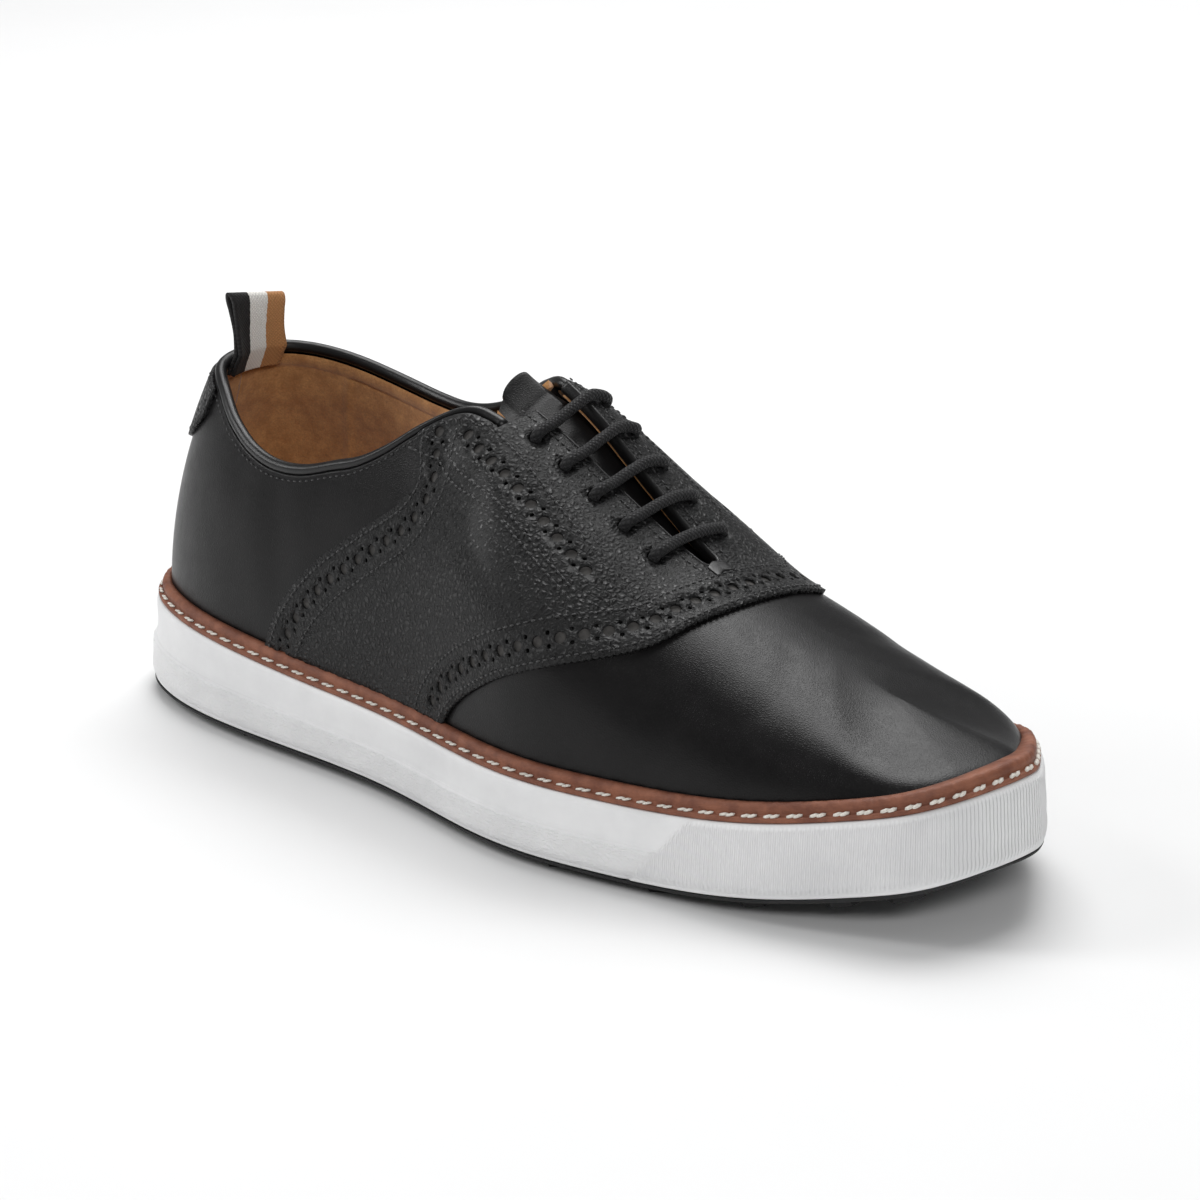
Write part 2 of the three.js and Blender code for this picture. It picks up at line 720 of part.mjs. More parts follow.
// A six-sided lug that tilts with the toe spring
function lug(x, y, radius) {
  const height = whiteBottom - clearance - outsolePlate / 2;
  const slope = (springAt(x + radius) - springAt(x - radius)) / (2 * radius);
  const block = new THREE.CylinderGeometry(radius * 1.1, radius, height, 6);
  block.rotateX(Math.PI / 2);
  block.rotateY(-Math.atan(slope));
  block.translate(x, y, springAt(x) + height / 2);
  return toManifold(block);
}

function outsoleGeometry() {
  const ring = (grow, height) => sidewallTurns(0).map(({ turn }) => {
    const { x, y } = outline(turn, grow);
    return new THREE.Vector3(x, y, height + springAt(outline(turn).x));
  });
  const top = whiteBottom - clearance;
  const plate = ringStack([ring(0, top - outsolePlate), ring(1.6, top - 0.7), ring(1.6, top)]);
  let solid = toManifold(plate);
  for (const { inset, first, last: end, step } of lugRings) {
    for (let turn = first; turn <= end; turn += step) {
      for (const each of [turn, mirrorTurn(turn)]) {
        const { x, y } = outline(each, -inset);
        solid = solid.add(lug(x, y, lugRadius));
      }
    }
  }
  for (const along of restPads) solid = solid.add(lug(along * soleLength, 0, restPadRadius));
  return toGeometry(solid);
}

// One crossing: up through an eyelet, over the gap and down through the other
function crossing(row) {
  const sides = ['outer', 'inner'];
  const ends = sides.map((side) => eyelet(row, side));
  const span = ends[1].point.clone().sub(ends[0].point);
  const overlay = clearance + overlayWall;
  const lay = overlay + clearance + laceRadius;
  const under = -(upperWall + 3 * clearance + laceHalfThickness);
  const halves = ends.map(({ point, normal }, i) => {
    const inward = span.clone().multiplyScalar(i === 0 ? 1 : -1);
    inward.addScaledVector(normal, -inward.dot(normal)).normalize();
    const place = (along, height) => (
      point.clone().addScaledVector(normal, height).addScaledVector(inward, along)
    );
    const brink = facingPlace(eyeletRows[row], sides[i], throatTopGap + 1);
    return [
      place(0, under), place(0, 0), place(0, overlay), place(0.5, lay - 0.55),
      place(2.1, lay), offLast(brink.turn, brink.rise, lay + 0.1),
    ];
  });
  const middle = halves[0][5].clone().lerp(halves[1][5], 0.5);
  middle.z += 0.5;
  const points = [...halves[0], middle, ...halves[1].reverse()];
  const side = span.clone().normalize().cross(ends[0].normal).normalize();
  return cord(points.map((point) => ({ point, side })), laceRadius, laceRadius, 6);
}

// One hidden run along the underside of a facing
function hiddenRun({ side, from, to }) {
  const depth = upperWall + 3 * clearance + laceHalfThickness;
  const stations = [];
  for (let row = from; row <= to; row += 0.5) {
    const low = eyeletRows[Math.floor(row)];
    const high = eyeletRows[Math.ceil(row)];
    const { turn, rise } = facingPlace((low + high) / 2, side, eyeletReach - laceRadius);
    const normal = lastNormal(turn, rise);
    const point = last(turn, rise).addScaledVector(normal, -depth);
    stations.push({ point, normal });
  }
  const along = stations[stations.length - 1].point.clone().sub(stations[0].point).normalize();
  const withSides = stations.map(({ point, normal }) => ({ point, side: along.clone().cross(normal) }));
  return cord(withSides, laceHalfWidth, laceHalfThickness, 6);
}

function laceGeometry() {
  const pieces = [
    ...eyeletRows.map((_, row) => crossing(row)),
    ...hiddenRuns.map(hiddenRun),
  ];
  const joined = pieces.map(toManifold).reduce((solid, piece) => solid.add(piece));
  return toGeometry(joined);
}

// A place against the inside of the heel, at a depth in from the last
function insideHeel(across, height, depth) {
  const place = (turn) => offLast(turn, riseAtHeight(turn, height - foot(turn).z), -depth);
  const turn = solve((each) => Math.abs(place(each).y), Math.abs(across), 0, 60);
  return place(turn).x;
}

// The pull loop: a folded tape whose two legs stand against the inside of the heel
function pullTabGeometry() {
  const collar = collarHeight * through(collarTable, 'outer', 0);
  const depth = (upperWall + bindingWidth + tapeThickness) / 2 + 2.5 * clearance;
  const gap = 1.1; // half the space between the two legs
  const tuck = 7; // how far the legs reach below the collar
  const top = collar + tapeStand - gap;
  const half = (collar + top) / 2;
  const route = [
    [0, collar - tuck], [0, collar - tuck / 2], [0, collar], [0.2, half], [0, top],
    [gap * 0.3, top + gap * 0.75], [gap, top + gap], [gap * 1.7, top + gap * 0.75],
    [gap * 2, top], [gap * 1.7, half], [gap * 1.6, collar], [gap * 1.6, collar - tuck / 2],
    [gap * 1.6, collar - tuck],
  ];
  const turned = 0.15; // the tape turns toward the inner side as it rises
  const slope = -0.14; // its fold runs down toward the inner side
  const face = (way) => route.map(([x, z], i) => {
    const [beforeX, beforeZ] = route[Math.max(i - 1, 0)];
    const [afterX, afterZ] = route[Math.min(i + 1, route.length - 1)];
    const size = Math.hypot(afterX - beforeX, afterZ - beforeZ) / (way * tapeThickness * 0.5);
    return [x - (afterZ - beforeZ) / size, z + (afterX - beforeX) / size];
  });
  const faces = [face(-1), face(1)];
  const across = [-1, -0.5, 0, 0.5, 1];
  const sections = route.map((_, i) => {
    const strip = (way) => across.map((share) => {
      const [x, z] = faces[way][i];
      const y = (share * tapeWidth) / 2;
      const free = Math.min(Math.max((z - collar) / tapeStand, 0), 1);
      const height = Math.min(z, collar - clearance);
      const bowed = insideHeel(y, height, depth);
      const flat = insideHeel(tapeWidth / 4, height, depth);
      const seat = bowed + (flat - bowed) * free;
      return new THREE.Vector3(seat + x + turned * y * free, y, z + slope * y * free);
    });
    return [...strip(0), ...strip(1).reverse()];
  });
  return loft(sections, false);
}

const finishes = {
  calf: { color: 0x1c1a1b, roughness: 0.42, metalness: 0 },
  grain: { color: 0x222021, roughness: 0.5, metalness: 0 },
  trim: { color: 0x19181a, roughness: 0.4, metalness: 0 },
  brown: { color: 0x7d4434, roughness: 0.6, metalness: 0 },
  white: { color: 0xe9e9ea, roughness: 0.55, metalness: 0 },
  tread: { color: 0x1b1b1c, roughness: 0.75, metalness: 0 },
  suede: { color: 0xb0824e, roughness: 0.9, metalness: 0 },
  cordage: { color: 0x17171a, roughness: 0.7, metalness: 0 },
  tape: { color: 0x6b5a4c, roughness: 0.8, metalness: 0 },
};

const pieces = [
  ['outsole', outsoleGeometry, 'tread'],
  ['midsole', midsoleGeometry, 'white'],
  ['welt', weltGeometry, 'brown'],
  ['upper', upperGeometry, 'calf'],
  ['saddle', saddleGeometry, 'grain'],
  ['heel_tab', heelTabGeometry, 'grain'],
  ['collar_binding', bindingGeometry, 'trim'],
  ['tongue', tongueGeometry, 'calf'],
  ['insole', insoleGeometry, 'suede'],
  ['lace', laceGeometry, 'cordage'],
  ['pull_tab', pullTabGeometry, 'tape'],
];

const shoe = new THREE.Group();
shoe.name = 'saddle_shoe';
for (const [name, makeGeometry, finish] of pieces) {
  const geometry = makeGeometry();
  geometry.computeVertexNormals();
  const mesh = new THREE.Mesh(geometry, new THREE.MeshStandardMaterial(finishes[finish]));
  mesh.name = name;
  shoe.add(mesh);
}

// The origin is on the floor under the middle of the whole shoe
const bounds = new THREE.Box3().setFromObject(shoe);
const middle = bounds.getCenter(new THREE.Vector3());
shoe.position.set(-middle.x, -middle.y, -bounds.min.z);
shoe.updateMatrixWorld(true);

export default shoe;
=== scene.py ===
"""The looks of a right saddle shoe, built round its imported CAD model.

Lengths are in millimetres until a mesh is made. +X runs to the toe, +Y to the inner side.
"""
import math

import bmesh
import bpy
import numpy as np
from mathutils import Matrix, Vector
from mathutils.geometry import delaunay_2d_cdt


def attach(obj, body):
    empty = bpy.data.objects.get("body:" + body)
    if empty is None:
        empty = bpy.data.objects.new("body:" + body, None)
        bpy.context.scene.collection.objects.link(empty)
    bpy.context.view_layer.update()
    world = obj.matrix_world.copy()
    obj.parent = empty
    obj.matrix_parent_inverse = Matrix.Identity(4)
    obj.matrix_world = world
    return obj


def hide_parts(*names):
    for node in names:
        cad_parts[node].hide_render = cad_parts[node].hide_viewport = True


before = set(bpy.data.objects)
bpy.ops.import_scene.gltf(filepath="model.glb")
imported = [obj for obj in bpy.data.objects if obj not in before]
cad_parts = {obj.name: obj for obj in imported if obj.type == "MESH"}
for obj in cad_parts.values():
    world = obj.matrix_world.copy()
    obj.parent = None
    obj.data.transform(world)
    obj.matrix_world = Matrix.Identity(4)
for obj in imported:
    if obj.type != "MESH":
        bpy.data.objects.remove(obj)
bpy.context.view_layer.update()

MM = 0.001

# Driving dimensions, as in the CAD model
sole_length = 305
ball_width = 107
heel_height = 30
toe_spring = 14.2
instep_height = 106.5
collar_height = 104
half_length = sole_length / 2

upper_wall = 2.2
overlay_top = 1.45  # how far the overlays stand off the last
upper_inset = 3.9
sole_top_gap = 0.3
white_bottom = 4.15
spring_start = 0.7
lace_radius = 1.65
eyelet_radius = 2.15
binding_height = 3.4
binding_width = 3.6
welt_rise = 4.9


def table(columns, *rows):
    """Rows of numbers under named columns."""
    return dict(zip(columns.split(), np.array(rows, float).T))


outline_table = table(
    "turn outer inner",
    (0, 0, 0),
    (15, 0.2, 0.198),
    (30, 0.314, 0.308),
    (45, 0.378, 0.355),
    (60, 0.396, 0.346),
    (75, 0.406, 0.327),
    (90, 0.466, 0.336),
    (105, 0.493, 0.421),
    (120, 0.434, 0.496),
    (135, 0.364, 0.474),
    (150, 0.275, 0.39),
    (165, 0.15, 0.211),
    (180, -0.077, 0.077),
)
rim_table = table(
    "at rise",
    (0, 1),
    (0.15, 0.917),
    (0.3, 0.82),
    (0.45, 0.787),
    (0.6, 0.787),
    (0.8, 0.81),
    (1, 0.833),
)
section_table = table(
    "at ridge lift drift outer_lean inner_lean",
    (0, 1.3, 0, 0, 0.3, 0.3),
    (0.1, 1.3, 0, 0, 0.24, 0.26),
    (0.2, 1.277, 0, 0, 0.14, 0.16),
    (0.3, 1.207, 0.01, 0, 0.06, 0.06),
    (0.4, 1.078, 0.047, 0, -0.08, -0.12),
    (0.5, 0.97, 0.047, 0, -0.45, -0.66),
    (0.6, 0.843, 0.023, 0.005, -0.52, -0.68),
    (0.7, 0.727, 0, 0.011, -0.34, -0.34),
    (0.8, 0.644, 0, 0.025, -0.27, -0.22),
    (0.9, 0.562, 0, 0.045, -0.22, -0.18),
    (1, 0.488, 0, 0.061, -0.16, -0.16),
)
ridge_heel = -0.335
ridge_toe = 0.367
ridge_toe_slope = 0.5
collar_table = table(
    "at outer inner",
    (0, 1, 1.008),
    (0.06, 0.956, 1),
    (0.12, 0.882, 0.978),
    (0.16, 0.841, 0.957),
    (0.2, 0.821, 0.937),
    (0.24, 0.829, 0.922),
    (0.28, 0.865, 0.918),
    (0.31, 0.894, 0.933),
    (0.34, 0.946, 0.965),
    (0.37, 1.02, 1.013),
    (0.4, 1.077, 1.072),
    (0.43, 1.071, 1.11),
    (0.46, 1.046, 1.092),
)
throat_top_turn = 84
throat_end_turn = 114
throat_top_gap = 6.6
throat_end_gap = 3.2
heel_end_turn = 50  # behind this the last is too narrow to have a throat

# Edges of the saddle in the side view: along as a share of sole_length, at a share of height
saddle_rear = table(
    "at along",
    (0.12, -0.256),
    (0.309, -0.256),
    (0.436, -0.235),
    (0.569, -0.194),
    (0.678, -0.145),
    (0.793, -0.094),
    (0.85, -0.085),
    (0.909, -0.093),
    (0.98, -0.101),
    (1.4, -0.111),
)
saddle_front = table(
    "at along",
    (0.12, -0.004),
    (0.283, -0.001),
    (0.331, 0.012),
    (0.408, 0.046),
    (0.467, 0.08),
    (0.542, 0.143),
    (0.591, 0.199),
    (0.64, 0.216),
    (1.4, 0.22),
)
saddle_slant = 0.1
# Middle of the eyestay's row of holes: how far it is from the throat's middle line
eyestay_table = table(
    "at reach",
    (-0.075, 19.5),
    (-0.06, 21.5),
    (0.025, 28),
    (0.083, 31),
    (0.12, 31.8),
    (0.16, 31.6),
    (0.2, 31),
)

inner_eyestay_share = 0.86  # the shoe's inner half is narrower there

eyelet_rows = (0.139, 0.104, 0.069, 0.035, 0)
eyelet_reach = 13.8


def through(rows, column, at, end_slope=1.0):
    """A smooth curve through one column of a table."""
    x = rows["at"]
    y = rows[column]
    gaps = np.diff(x)
    falls = np.diff(y) / gaps
    slopes = np.empty(len(x))
    slopes[0] = falls[0]
    slopes[-1] = falls[-1] * end_slope
    slopes[1:-1] = (falls[:-1] * gaps[1:] + falls[1:] * gaps[:-1]) / (gaps[:-1] + gaps[1:])
    at = np.clip(at, x[0], x[-1])
    i = np.clip(np.searchsorted(x, at, side="right") - 1, 0, len(x) - 2)
    t = (at - x[i]) / gaps[i]
    s = 1 - t
    start = (1 + 2 * t) * s * s * y[i] + t * s * s * gaps[i] * slopes[i]
    end = t * t * (3 - 2 * t) * y[i + 1] - t * t * s * gaps[i] * slopes[i + 1]
    return start + end


half_widths = np.concatenate([-outline_table["outer"], outline_table["inner"][-2:0:-1]]) * ball_width
waves = np.arange(len(half_widths) // 2 + 1)
wave_angles = 2 * np.pi * waves[:, None] * np.arange(len(half_widths)) / len(half_widths)
wave_parts = np.where((waves == 0) | (waves == waves[-1]), 1, 2) / len(half_widths)
cosines = (half_widths * np.cos(wave_angles)).sum(1) * wave_parts
sines = (half_widths * np.sin(wave_angles)).sum(1) * wave_parts


def outline(turn, grow=0.0):
    """The sole's outline at a turn in degrees from the heel, moved outward by grow."""
    u = np.radians(np.asarray(turn, float))[..., None]
    y = (cosines * np.cos(waves * u) + sines * np.sin(waves * u)).sum(-1)
    dy = (waves * (sines * np.cos(waves * u) - cosines * np.sin(waves * u))).sum(-1)
    dx = half_length * np.sin(u[..., 0])
    size = np.hypot(dx, dy)
    return -half_length * np.cos(u[..., 0]) + dy / size * grow, y - dx / size * grow


def spring_at(x):
    share = np.clip(((x + half_length) / sole_length - spring_start) / (1 - spring_start), 0, 1)
    return toe_spring * share**2


def rim_at(x):
    return heel_height * through(rim_table, "rise", (x + half_length) / sole_length) + spring_at(x)


def is_outer(turn):
    return np.sin(np.radians(turn)) >= 0


def foot(turn):
    x, y = outline(turn, -upper_inset)
    return np.stack([x, y, rim_at(x) + sole_top_gap], -1)


def ridge_share(turn):
    return (1 - np.cos(np.radians(turn))) / 2


def ridge(turn):
    at = ridge_share(turn)
    lift = np.where(is_outer(turn), 0, np.maximum(through(section_table, "lift", at), 0))
    height = through(section_table, "ridge", at, ridge_toe_slope) + lift
    x = sole_length * (ridge_heel + (ridge_toe - ridge_heel) * at)
    return np.stack([x, ball_width * through(section_table, "drift", at), instep_height * height], -1)


def ridge_slope(turn):
    at = ridge_share(turn)
    behind = np.maximum(at - 0.01, 0)
    ahead = np.minimum(at + 0.01, 1)
    rise = through(section_table, "ridge", ahead, ridge_toe_slope)
    rise = rise - through(section_table, "ridge", behind, ridge_toe_slope)
    return instep_height * rise / ((ahead - behind) * sole_length * (ridge_toe - ridge_heel))


def last(turn, rise):
    """The last: turn runs round it and rise from 0 at the sole to 90 degrees on the ridge."""
    turn, rise = np.broadcast_arrays(np.asarray(turn, float), np.asarray(rise, float))
    bottom = foot(turn)
    top = ridge(turn)
    at = ridge_share(turn)
    outer_lean = through(section_table, "outer_lean", at)
    lean = np.where(is_outer(turn), outer_lean, through(section_table, "inner_lean", at))
    up = np.sin(np.radians(rise))
    reach = np.cos(np.radians(rise)) * (1 - lean * up * up)
    point = top + (bottom - top) * reach[..., None]
    ahead = point[..., 0] - top[..., 0]
    point[..., 2] = bottom[..., 2] + (top[..., 2] - bottom[..., 2]) * up
    point[..., 2] += ridge_slope(turn) * ahead * up * up
    return point


def unit(vectors):
    return vectors / np.linalg.norm(vectors, axis=-1, keepdims=True)


def last_normal(turn, rise):
    turn, rise = np.broadcast_arrays(np.asarray(turn, float), np.asarray(rise, float))
    low = np.minimum(rise, 89.5)
    around = last(turn + 0.05, low) - last(turn - 0.05, low)
    upward = last(turn, low + 0.05) - last(turn, low - 0.05)
    side = unit(np.cross(around, upward))
    slope = ridge_slope(turn)
    top = unit(np.stack([-slope, np.zeros_like(slope), np.ones_like(slope)], -1))
    share = np.clip((rise - 86) / 4, 0, 1)[..., None]
    return unit(side * (1 - share) + top * share)


def off_last(turn, rise, distance):
    return last(turn, rise) + last_normal(turn, rise) * np.asarray(distance)[..., None]


def solve(value, target, low, high):
    """Where a rising value first reaches a target, for many targets at once."""
    target = np.asarray(target, float)
    a = np.full(target.shape, float(low))
    b = np.full(target.shape, float(high))
    for _ in range(24):
        middle = (a + b) / 2
        below = value(middle) < target
        a = np.where(below, middle, a)
        b = np.where(below, b, middle)
    return (a + b) / 2


def rise_at_height(turn, height):
    bottom = foot(turn)[..., 2]
    return solve(lambda rise: last(turn, rise)[..., 2] - bottom, height + 0 * bottom, 0, 90)


def rise_at_reach(turn, reach):
    middle = ridge(turn)[..., 1]
    return solve(lambda rise: -np.abs(last(turn, rise)[..., 1] - middle), -reach + 0 * middle, 30, 90)


def near_turn(turn):
    turn = np.mod(turn, 360)
    return np.minimum(turn, 360 - turn)


def collar_rise(turn, lower):
    """The rise of a line this far below the collar's edge; it ends at the throat's top."""
    at = ridge_share(turn)
    outer = through(collar_table, "outer", at)
    height = collar_height * np.where(is_outer(turn), outer, through(collar_table, "inner", at))
    rise = solve(lambda each: last(turn, each)[..., 2], height - lower, 0, 90)
    return np.where(near_turn(turn) > throat_top_turn, 90, rise)


def open_top(turn):
    """The rise where the upper ends: at the collar, at the throat or on the ridge."""
    turn = np.asarray(turn, float)
    near = near_turn(turn)
    share = np.clip((near - throat_top_turn) / (throat_end_turn - throat_top_turn), 0, 1)
    gap = throat_top_gap + (throat_end_gap - throat_top_gap) * share
    at_gap = np.where(near > heel_end_turn, rise_at_reach(turn, gap), 90)
    top = np.minimum(collar_rise(turn, 0), at_gap)
    return np.where(near > throat_end_turn, 90, top)


# The middle of the whole model is on the x axis, as in the CAD model
sidewall_y = outline(np.arange(0, 360, 0.5), 2.8)[1]
shift = np.array([0, -(sidewall_y.max() + sidewall_y.min()) / 2, 0])


# Meshes

def new_piece(name, bm, materials, replaces=(), smooth=True):
    """Makes a mesh object that rides on the shoe."""
    if smooth:
        for face in bm.faces:
            face.smooth = True
    mesh = bpy.data.meshes.new(name)
    bm.to_mesh(mesh)
    bm.free()
    piece = bpy.data.objects.new(name, mesh)
    bpy.context.collection.objects.link(piece)
    for material in materials:
        mesh.materials.append(material)
    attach(piece, "root")
    if replaces:
        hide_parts(*replaces)
    return piece


def grid(columns, rows):
    """A flat grid to be laid on a surface, with its u and v from 0 to 1."""
    bm = bmesh.new()
    bm.loops.layers.uv.new("laid")
    bmesh.ops.create_grid(bm, x_segments=columns, y_segments=rows, size=0.5)
    bm.verts.ensure_lookup_table()
    flat = np.array([vert.co[:2] for vert in bm.verts]) + 0.5
    return bm, flat[:, 0], flat[:, 1]


def lay(bm, points, u=None, v=None):
    """Moves a grid's corners to their places, keeps u and v as a map and joins the seams."""
    if u is not None:
        layer = bm.loops.layers.uv["laid"]
        for face in bm.faces:
            for loop in face.loops:
                i = loop.vert.index
                loop[layer].uv = (u[i], v[i])
    for vert, point in zip(bm.verts, (points + shift) * MM):
        vert.co = point
    bmesh.ops.remove_doubles(bm, verts=bm.verts, dist=1e-6)
    loose = [face for face in bm.faces if face.calc_area() < 1e-13]
    bmesh.ops.delete(bm, geom=loose, context="FACES")


def turn_outward(bm, centre):
    """Turns an open surface's faces away from a centre."""
    bmesh.ops.recalc_face_normals(bm, faces=bm.faces)
    middle = Vector((centre + shift) * MM)
    facing = sum(
        (face.calc_center_median() - middle).dot(face.normal) * face.calc_area() for face in bm.faces
    )
    if facing < 0:
        bmesh.ops.reverse_faces(bm, faces=bm.faces)


def thicken(piece, wall, offset=-1.0, rim=0):
    solidify = piece.modifiers.new("wall", "SOLIDIFY")
    solidify.thickness = wall * MM
    solidify.offset = offset
    solidify.use_even_offset = False
    solidify.material_offset_rim = rim
    return solidify


def tube(route, wide, half_wide, high, half_high, columns, rows):
    """A cord or roll of oval section: route(u), wide(u) and high(u) give its middle and its axes."""
    bm, u, v = grid(columns, rows)
    angle = 2 * np.pi * v
    ends = np.sqrt(np.clip(1 - (1 - np.clip(np.minimum(u, 1 - u) * columns, 0, 1)) ** 2, 0, 1))
    centre = route(u)
    points = centre + wide(u) * (np.cos(angle) * half_wide * ends)[:, None]
    points = points + high(u) * (np.sin(angle) * half_high * ends)[:, None]
    return bm, points, u, v


def wall_top(turn, lower=binding_height + 0.3):
    """Where the leather ends under the collar's binding, or at the throat's edge."""
    turn = np.asarray(turn, float)
    return np.minimum(collar_rise(turn, lower), open_top(turn))


# A flat chart of the last: (turn, way), with way -90 at the outer foot, 0 on the ridge and
# 90 at the inner foot. Panels, seams and holes are drawn on it in the shoe's own millimetres.

def on_last(chart, distance=0.0):
    turn = np.where(chart[..., 1] < 0, chart[..., 0], -chart[..., 0])
    return off_last(turn, 90 - np.abs(chart[..., 1]), np.asarray(distance, float))


def chart_normal(chart):
    turn = np.where(chart[..., 1] < 0, chart[..., 0], -chart[..., 0])
    return last_normal(turn, 90 - np.abs(chart[..., 1]))


def chart_step(chart, move):
    """The step on the chart that moves a place by these millimetres on the last."""
    small = 0.05
    along = on_last(chart + [small, 0]) - on_last(chart - [small, 0])
    across = on_last(chart + [0, small]) - on_last(chart - [0, small])
    slopes = np.stack([along, across], -1) / (2 * small)
    return np.einsum("...ij,...j->...i", np.linalg.pinv(slopes), move)


def beside(line, distance):
    """A line on the chart moved sideways, to the left of its course for a distance above 0."""
    distance = np.broadcast_to(np.asarray(distance, float), line.shape[:1])
    count = max(1, math.ceil(np.abs(distance).max() / 2))
    for _ in range(count):
        along = unit(np.gradient(on_last(line), axis=0))
        side = unit(np.cross(chart_normal(line), along))
        line = line + chart_step(line, side * distance[:, None] / count)
    return line


def spaced(line, pitch):
    """Even steps of about the pitch along a line on the chart."""
    lengths = np.linalg.norm(np.diff(on_last(line), axis=0), axis=1)
    along = np.concatenate([[0], np.cumsum(lengths)])
    at = np.linspace(0, along[-1], max(2, round(along[-1] / pitch) + 1))
    return np.stack([np.interp(at, along, line[:, 0]), np.interp(at, along, line[:, 1])], -1)


def hole(centre, radius, corners):
    angle = np.linspace(0, 2 * np.pi, corners, endpoint=False)[:, None]
    centres = np.repeat(centre[None], corners, 0)
    along = unit(on_last(centre + [0.05, 0]) - on_last(centre - [0.05, 0]))
    side = np.cross(chart_normal(centre), along)
    return centres + chart_step(centres, (np.cos(angle) * along + np.sin(angle) * side) * radius)


def chart_plane(chart):
    """The chart stretched so that its millimetres are nearly even both ways."""
    return np.stack([-130 * np.cos(np.radians(chart[:, 0])), chart[:, 1] * 1.15], -1)


def within(points, ring):
    """Which points of a plane are inside a closed ring."""
    inside = np.zeros(len(points), bool)
    before = np.roll(ring, 1, axis=0)
    for a, b in zip(before, ring):
        crosses = (a[1] > points[:, 1]) != (b[1] > points[:, 1])
        if crosses.any():
            x = a[0] + (points[:, 1] - a[1]) * (b[0] - a[0]) / (b[1] - a[1] + 1e-12)
            inside ^= crosses & (points[:, 0] < x)
    return inside


def punched_panel(edge, holes, spacing, plane=chart_plane, unplane=None):
    """A flat panel with its punched holes, laid on the last."""
    ring = plane(edge)
    low = ring.min(0)
    high = ring.max(0)
    across = np.arange(low[0], high[0], spacing)
    up = np.arange(low[1], high[1], spacing)
    fill = np.stack(np.meshgrid(across, up), -1).reshape(-1, 2)
    fill = fill[within(fill, ring)]
    hole_rings = [plane(each) for each in holes]
    for each in [ring[::3], *hole_rings]:
        centre_gap = np.linalg.norm(fill[:, None] - each[None, ::2], axis=2).min(1)
        fill = fill[centre_gap > spacing * 0.45]
    for each in hole_rings:
        fill = fill[~within(fill, each)]
    corners = [ring, *hole_rings, fill]
    starts = np.cumsum([0] + [len(each) for each in corners])
    edges = []
    for start, each in zip(starts, corners[:-1]):
        edges += [(start + i, start + (i + 1) % len(each)) for i in range(len(each))]
    points = [Vector(point) for point in np.concatenate(corners).tolist()]
    found, _, faces, *_ = delaunay_2d_cdt(points, edges, [], 0, 1e-6)
    flat = np.array([point[:] for point in found])
    triangles = np.array(faces)
    middles = flat[triangles].mean(1)
    kept = within(middles, ring)
    for each in hole_rings:
        near = np.linalg.norm(middles - each.mean(0), axis=1) < 8
        kept[near] &= ~within(middles[near], each)
    chart = np.stack([np.degrees(np.arccos(np.clip(-flat[:, 0] / 130, -1, 1))), flat[:, 1] / 1.15], -1)
    if unplane:
        chart = unplane(flat)
    return chart, triangles[kept]


def panel_mesh(chart, triangles, distance):
    """The mesh of a punched panel, laid off the last by a distance."""
    bm = bmesh.new()
    points = (on_last(chart, np.full(len(chart), distance)) + shift) * MM
    corners = [bm.verts.new(point) for point in points]
    for a, b, c in triangles:
        bm.faces.new((corners[a], corners[b], corners[c]))
    bmesh.ops.delete(bm, geom=[v for v in bm.verts if not v.link_faces], context="VERTS")
    bmesh.ops.recalc_face_normals(bm, faces=bm.faces)
    return bm


def stitch_row(bm, line, pitch, length, width, distance):
    """Sews short rounded stitches along a line of the chart."""
    places = spaced(line, pitch)
    points = on_last(places, np.full(len(places), distance))
    along = unit(np.gradient(points, axis=0))
    normals = chart_normal(places)
    sew(bm, points, along, normals, length, width)


def sew(bm, points, along, normals, length, width, lean=0.0):
    for point, course, normal in zip(points, along, normals):
        side = np.cross(normal, course)
        course = course * math.cos(lean) + side * math.sin(lean)
        side = np.cross(normal, course)
        turned = np.stack([course * length / 2, side * width / 2, normal * width / 2], 1) * MM
        place = Matrix(turned.tolist()).to_4x4()
        place.translation = Vector((point + shift) * MM)
        bmesh.ops.create_icosphere(bm, subdivisions=1, radius=1, matrix=place)


# Materials

def add(tree, kind, inputs=(), **settings):
    """A shader node with its settings, and its inputs set or linked."""
    made = tree.nodes.new("ShaderNode" + kind)
    for key, value in settings.items():
        setattr(made, key, value)
    for key, value in dict(inputs).items():
        if isinstance(value, bpy.types.NodeSocket):
            tree.links.new(value, made.inputs[key])
        else:
            made.inputs[key].default_value = value
    return made


def new_group(name, inputs, outputs):
    tree = bpy.data.node_groups.new(name, "ShaderNodeTree")
    for label, kind in inputs.items():
        tree.interface.new_socket(label, in_out="INPUT", socket_type="NodeSocket" + kind)
    for label, kind in outputs.items():
        tree.interface.new_socket(label, in_out="OUTPUT", socket_type="NodeSocket" + kind)
    return tree, tree.nodes.new("NodeGroupInput").outputs, tree.nodes.new("NodeGroupOutput").inputs


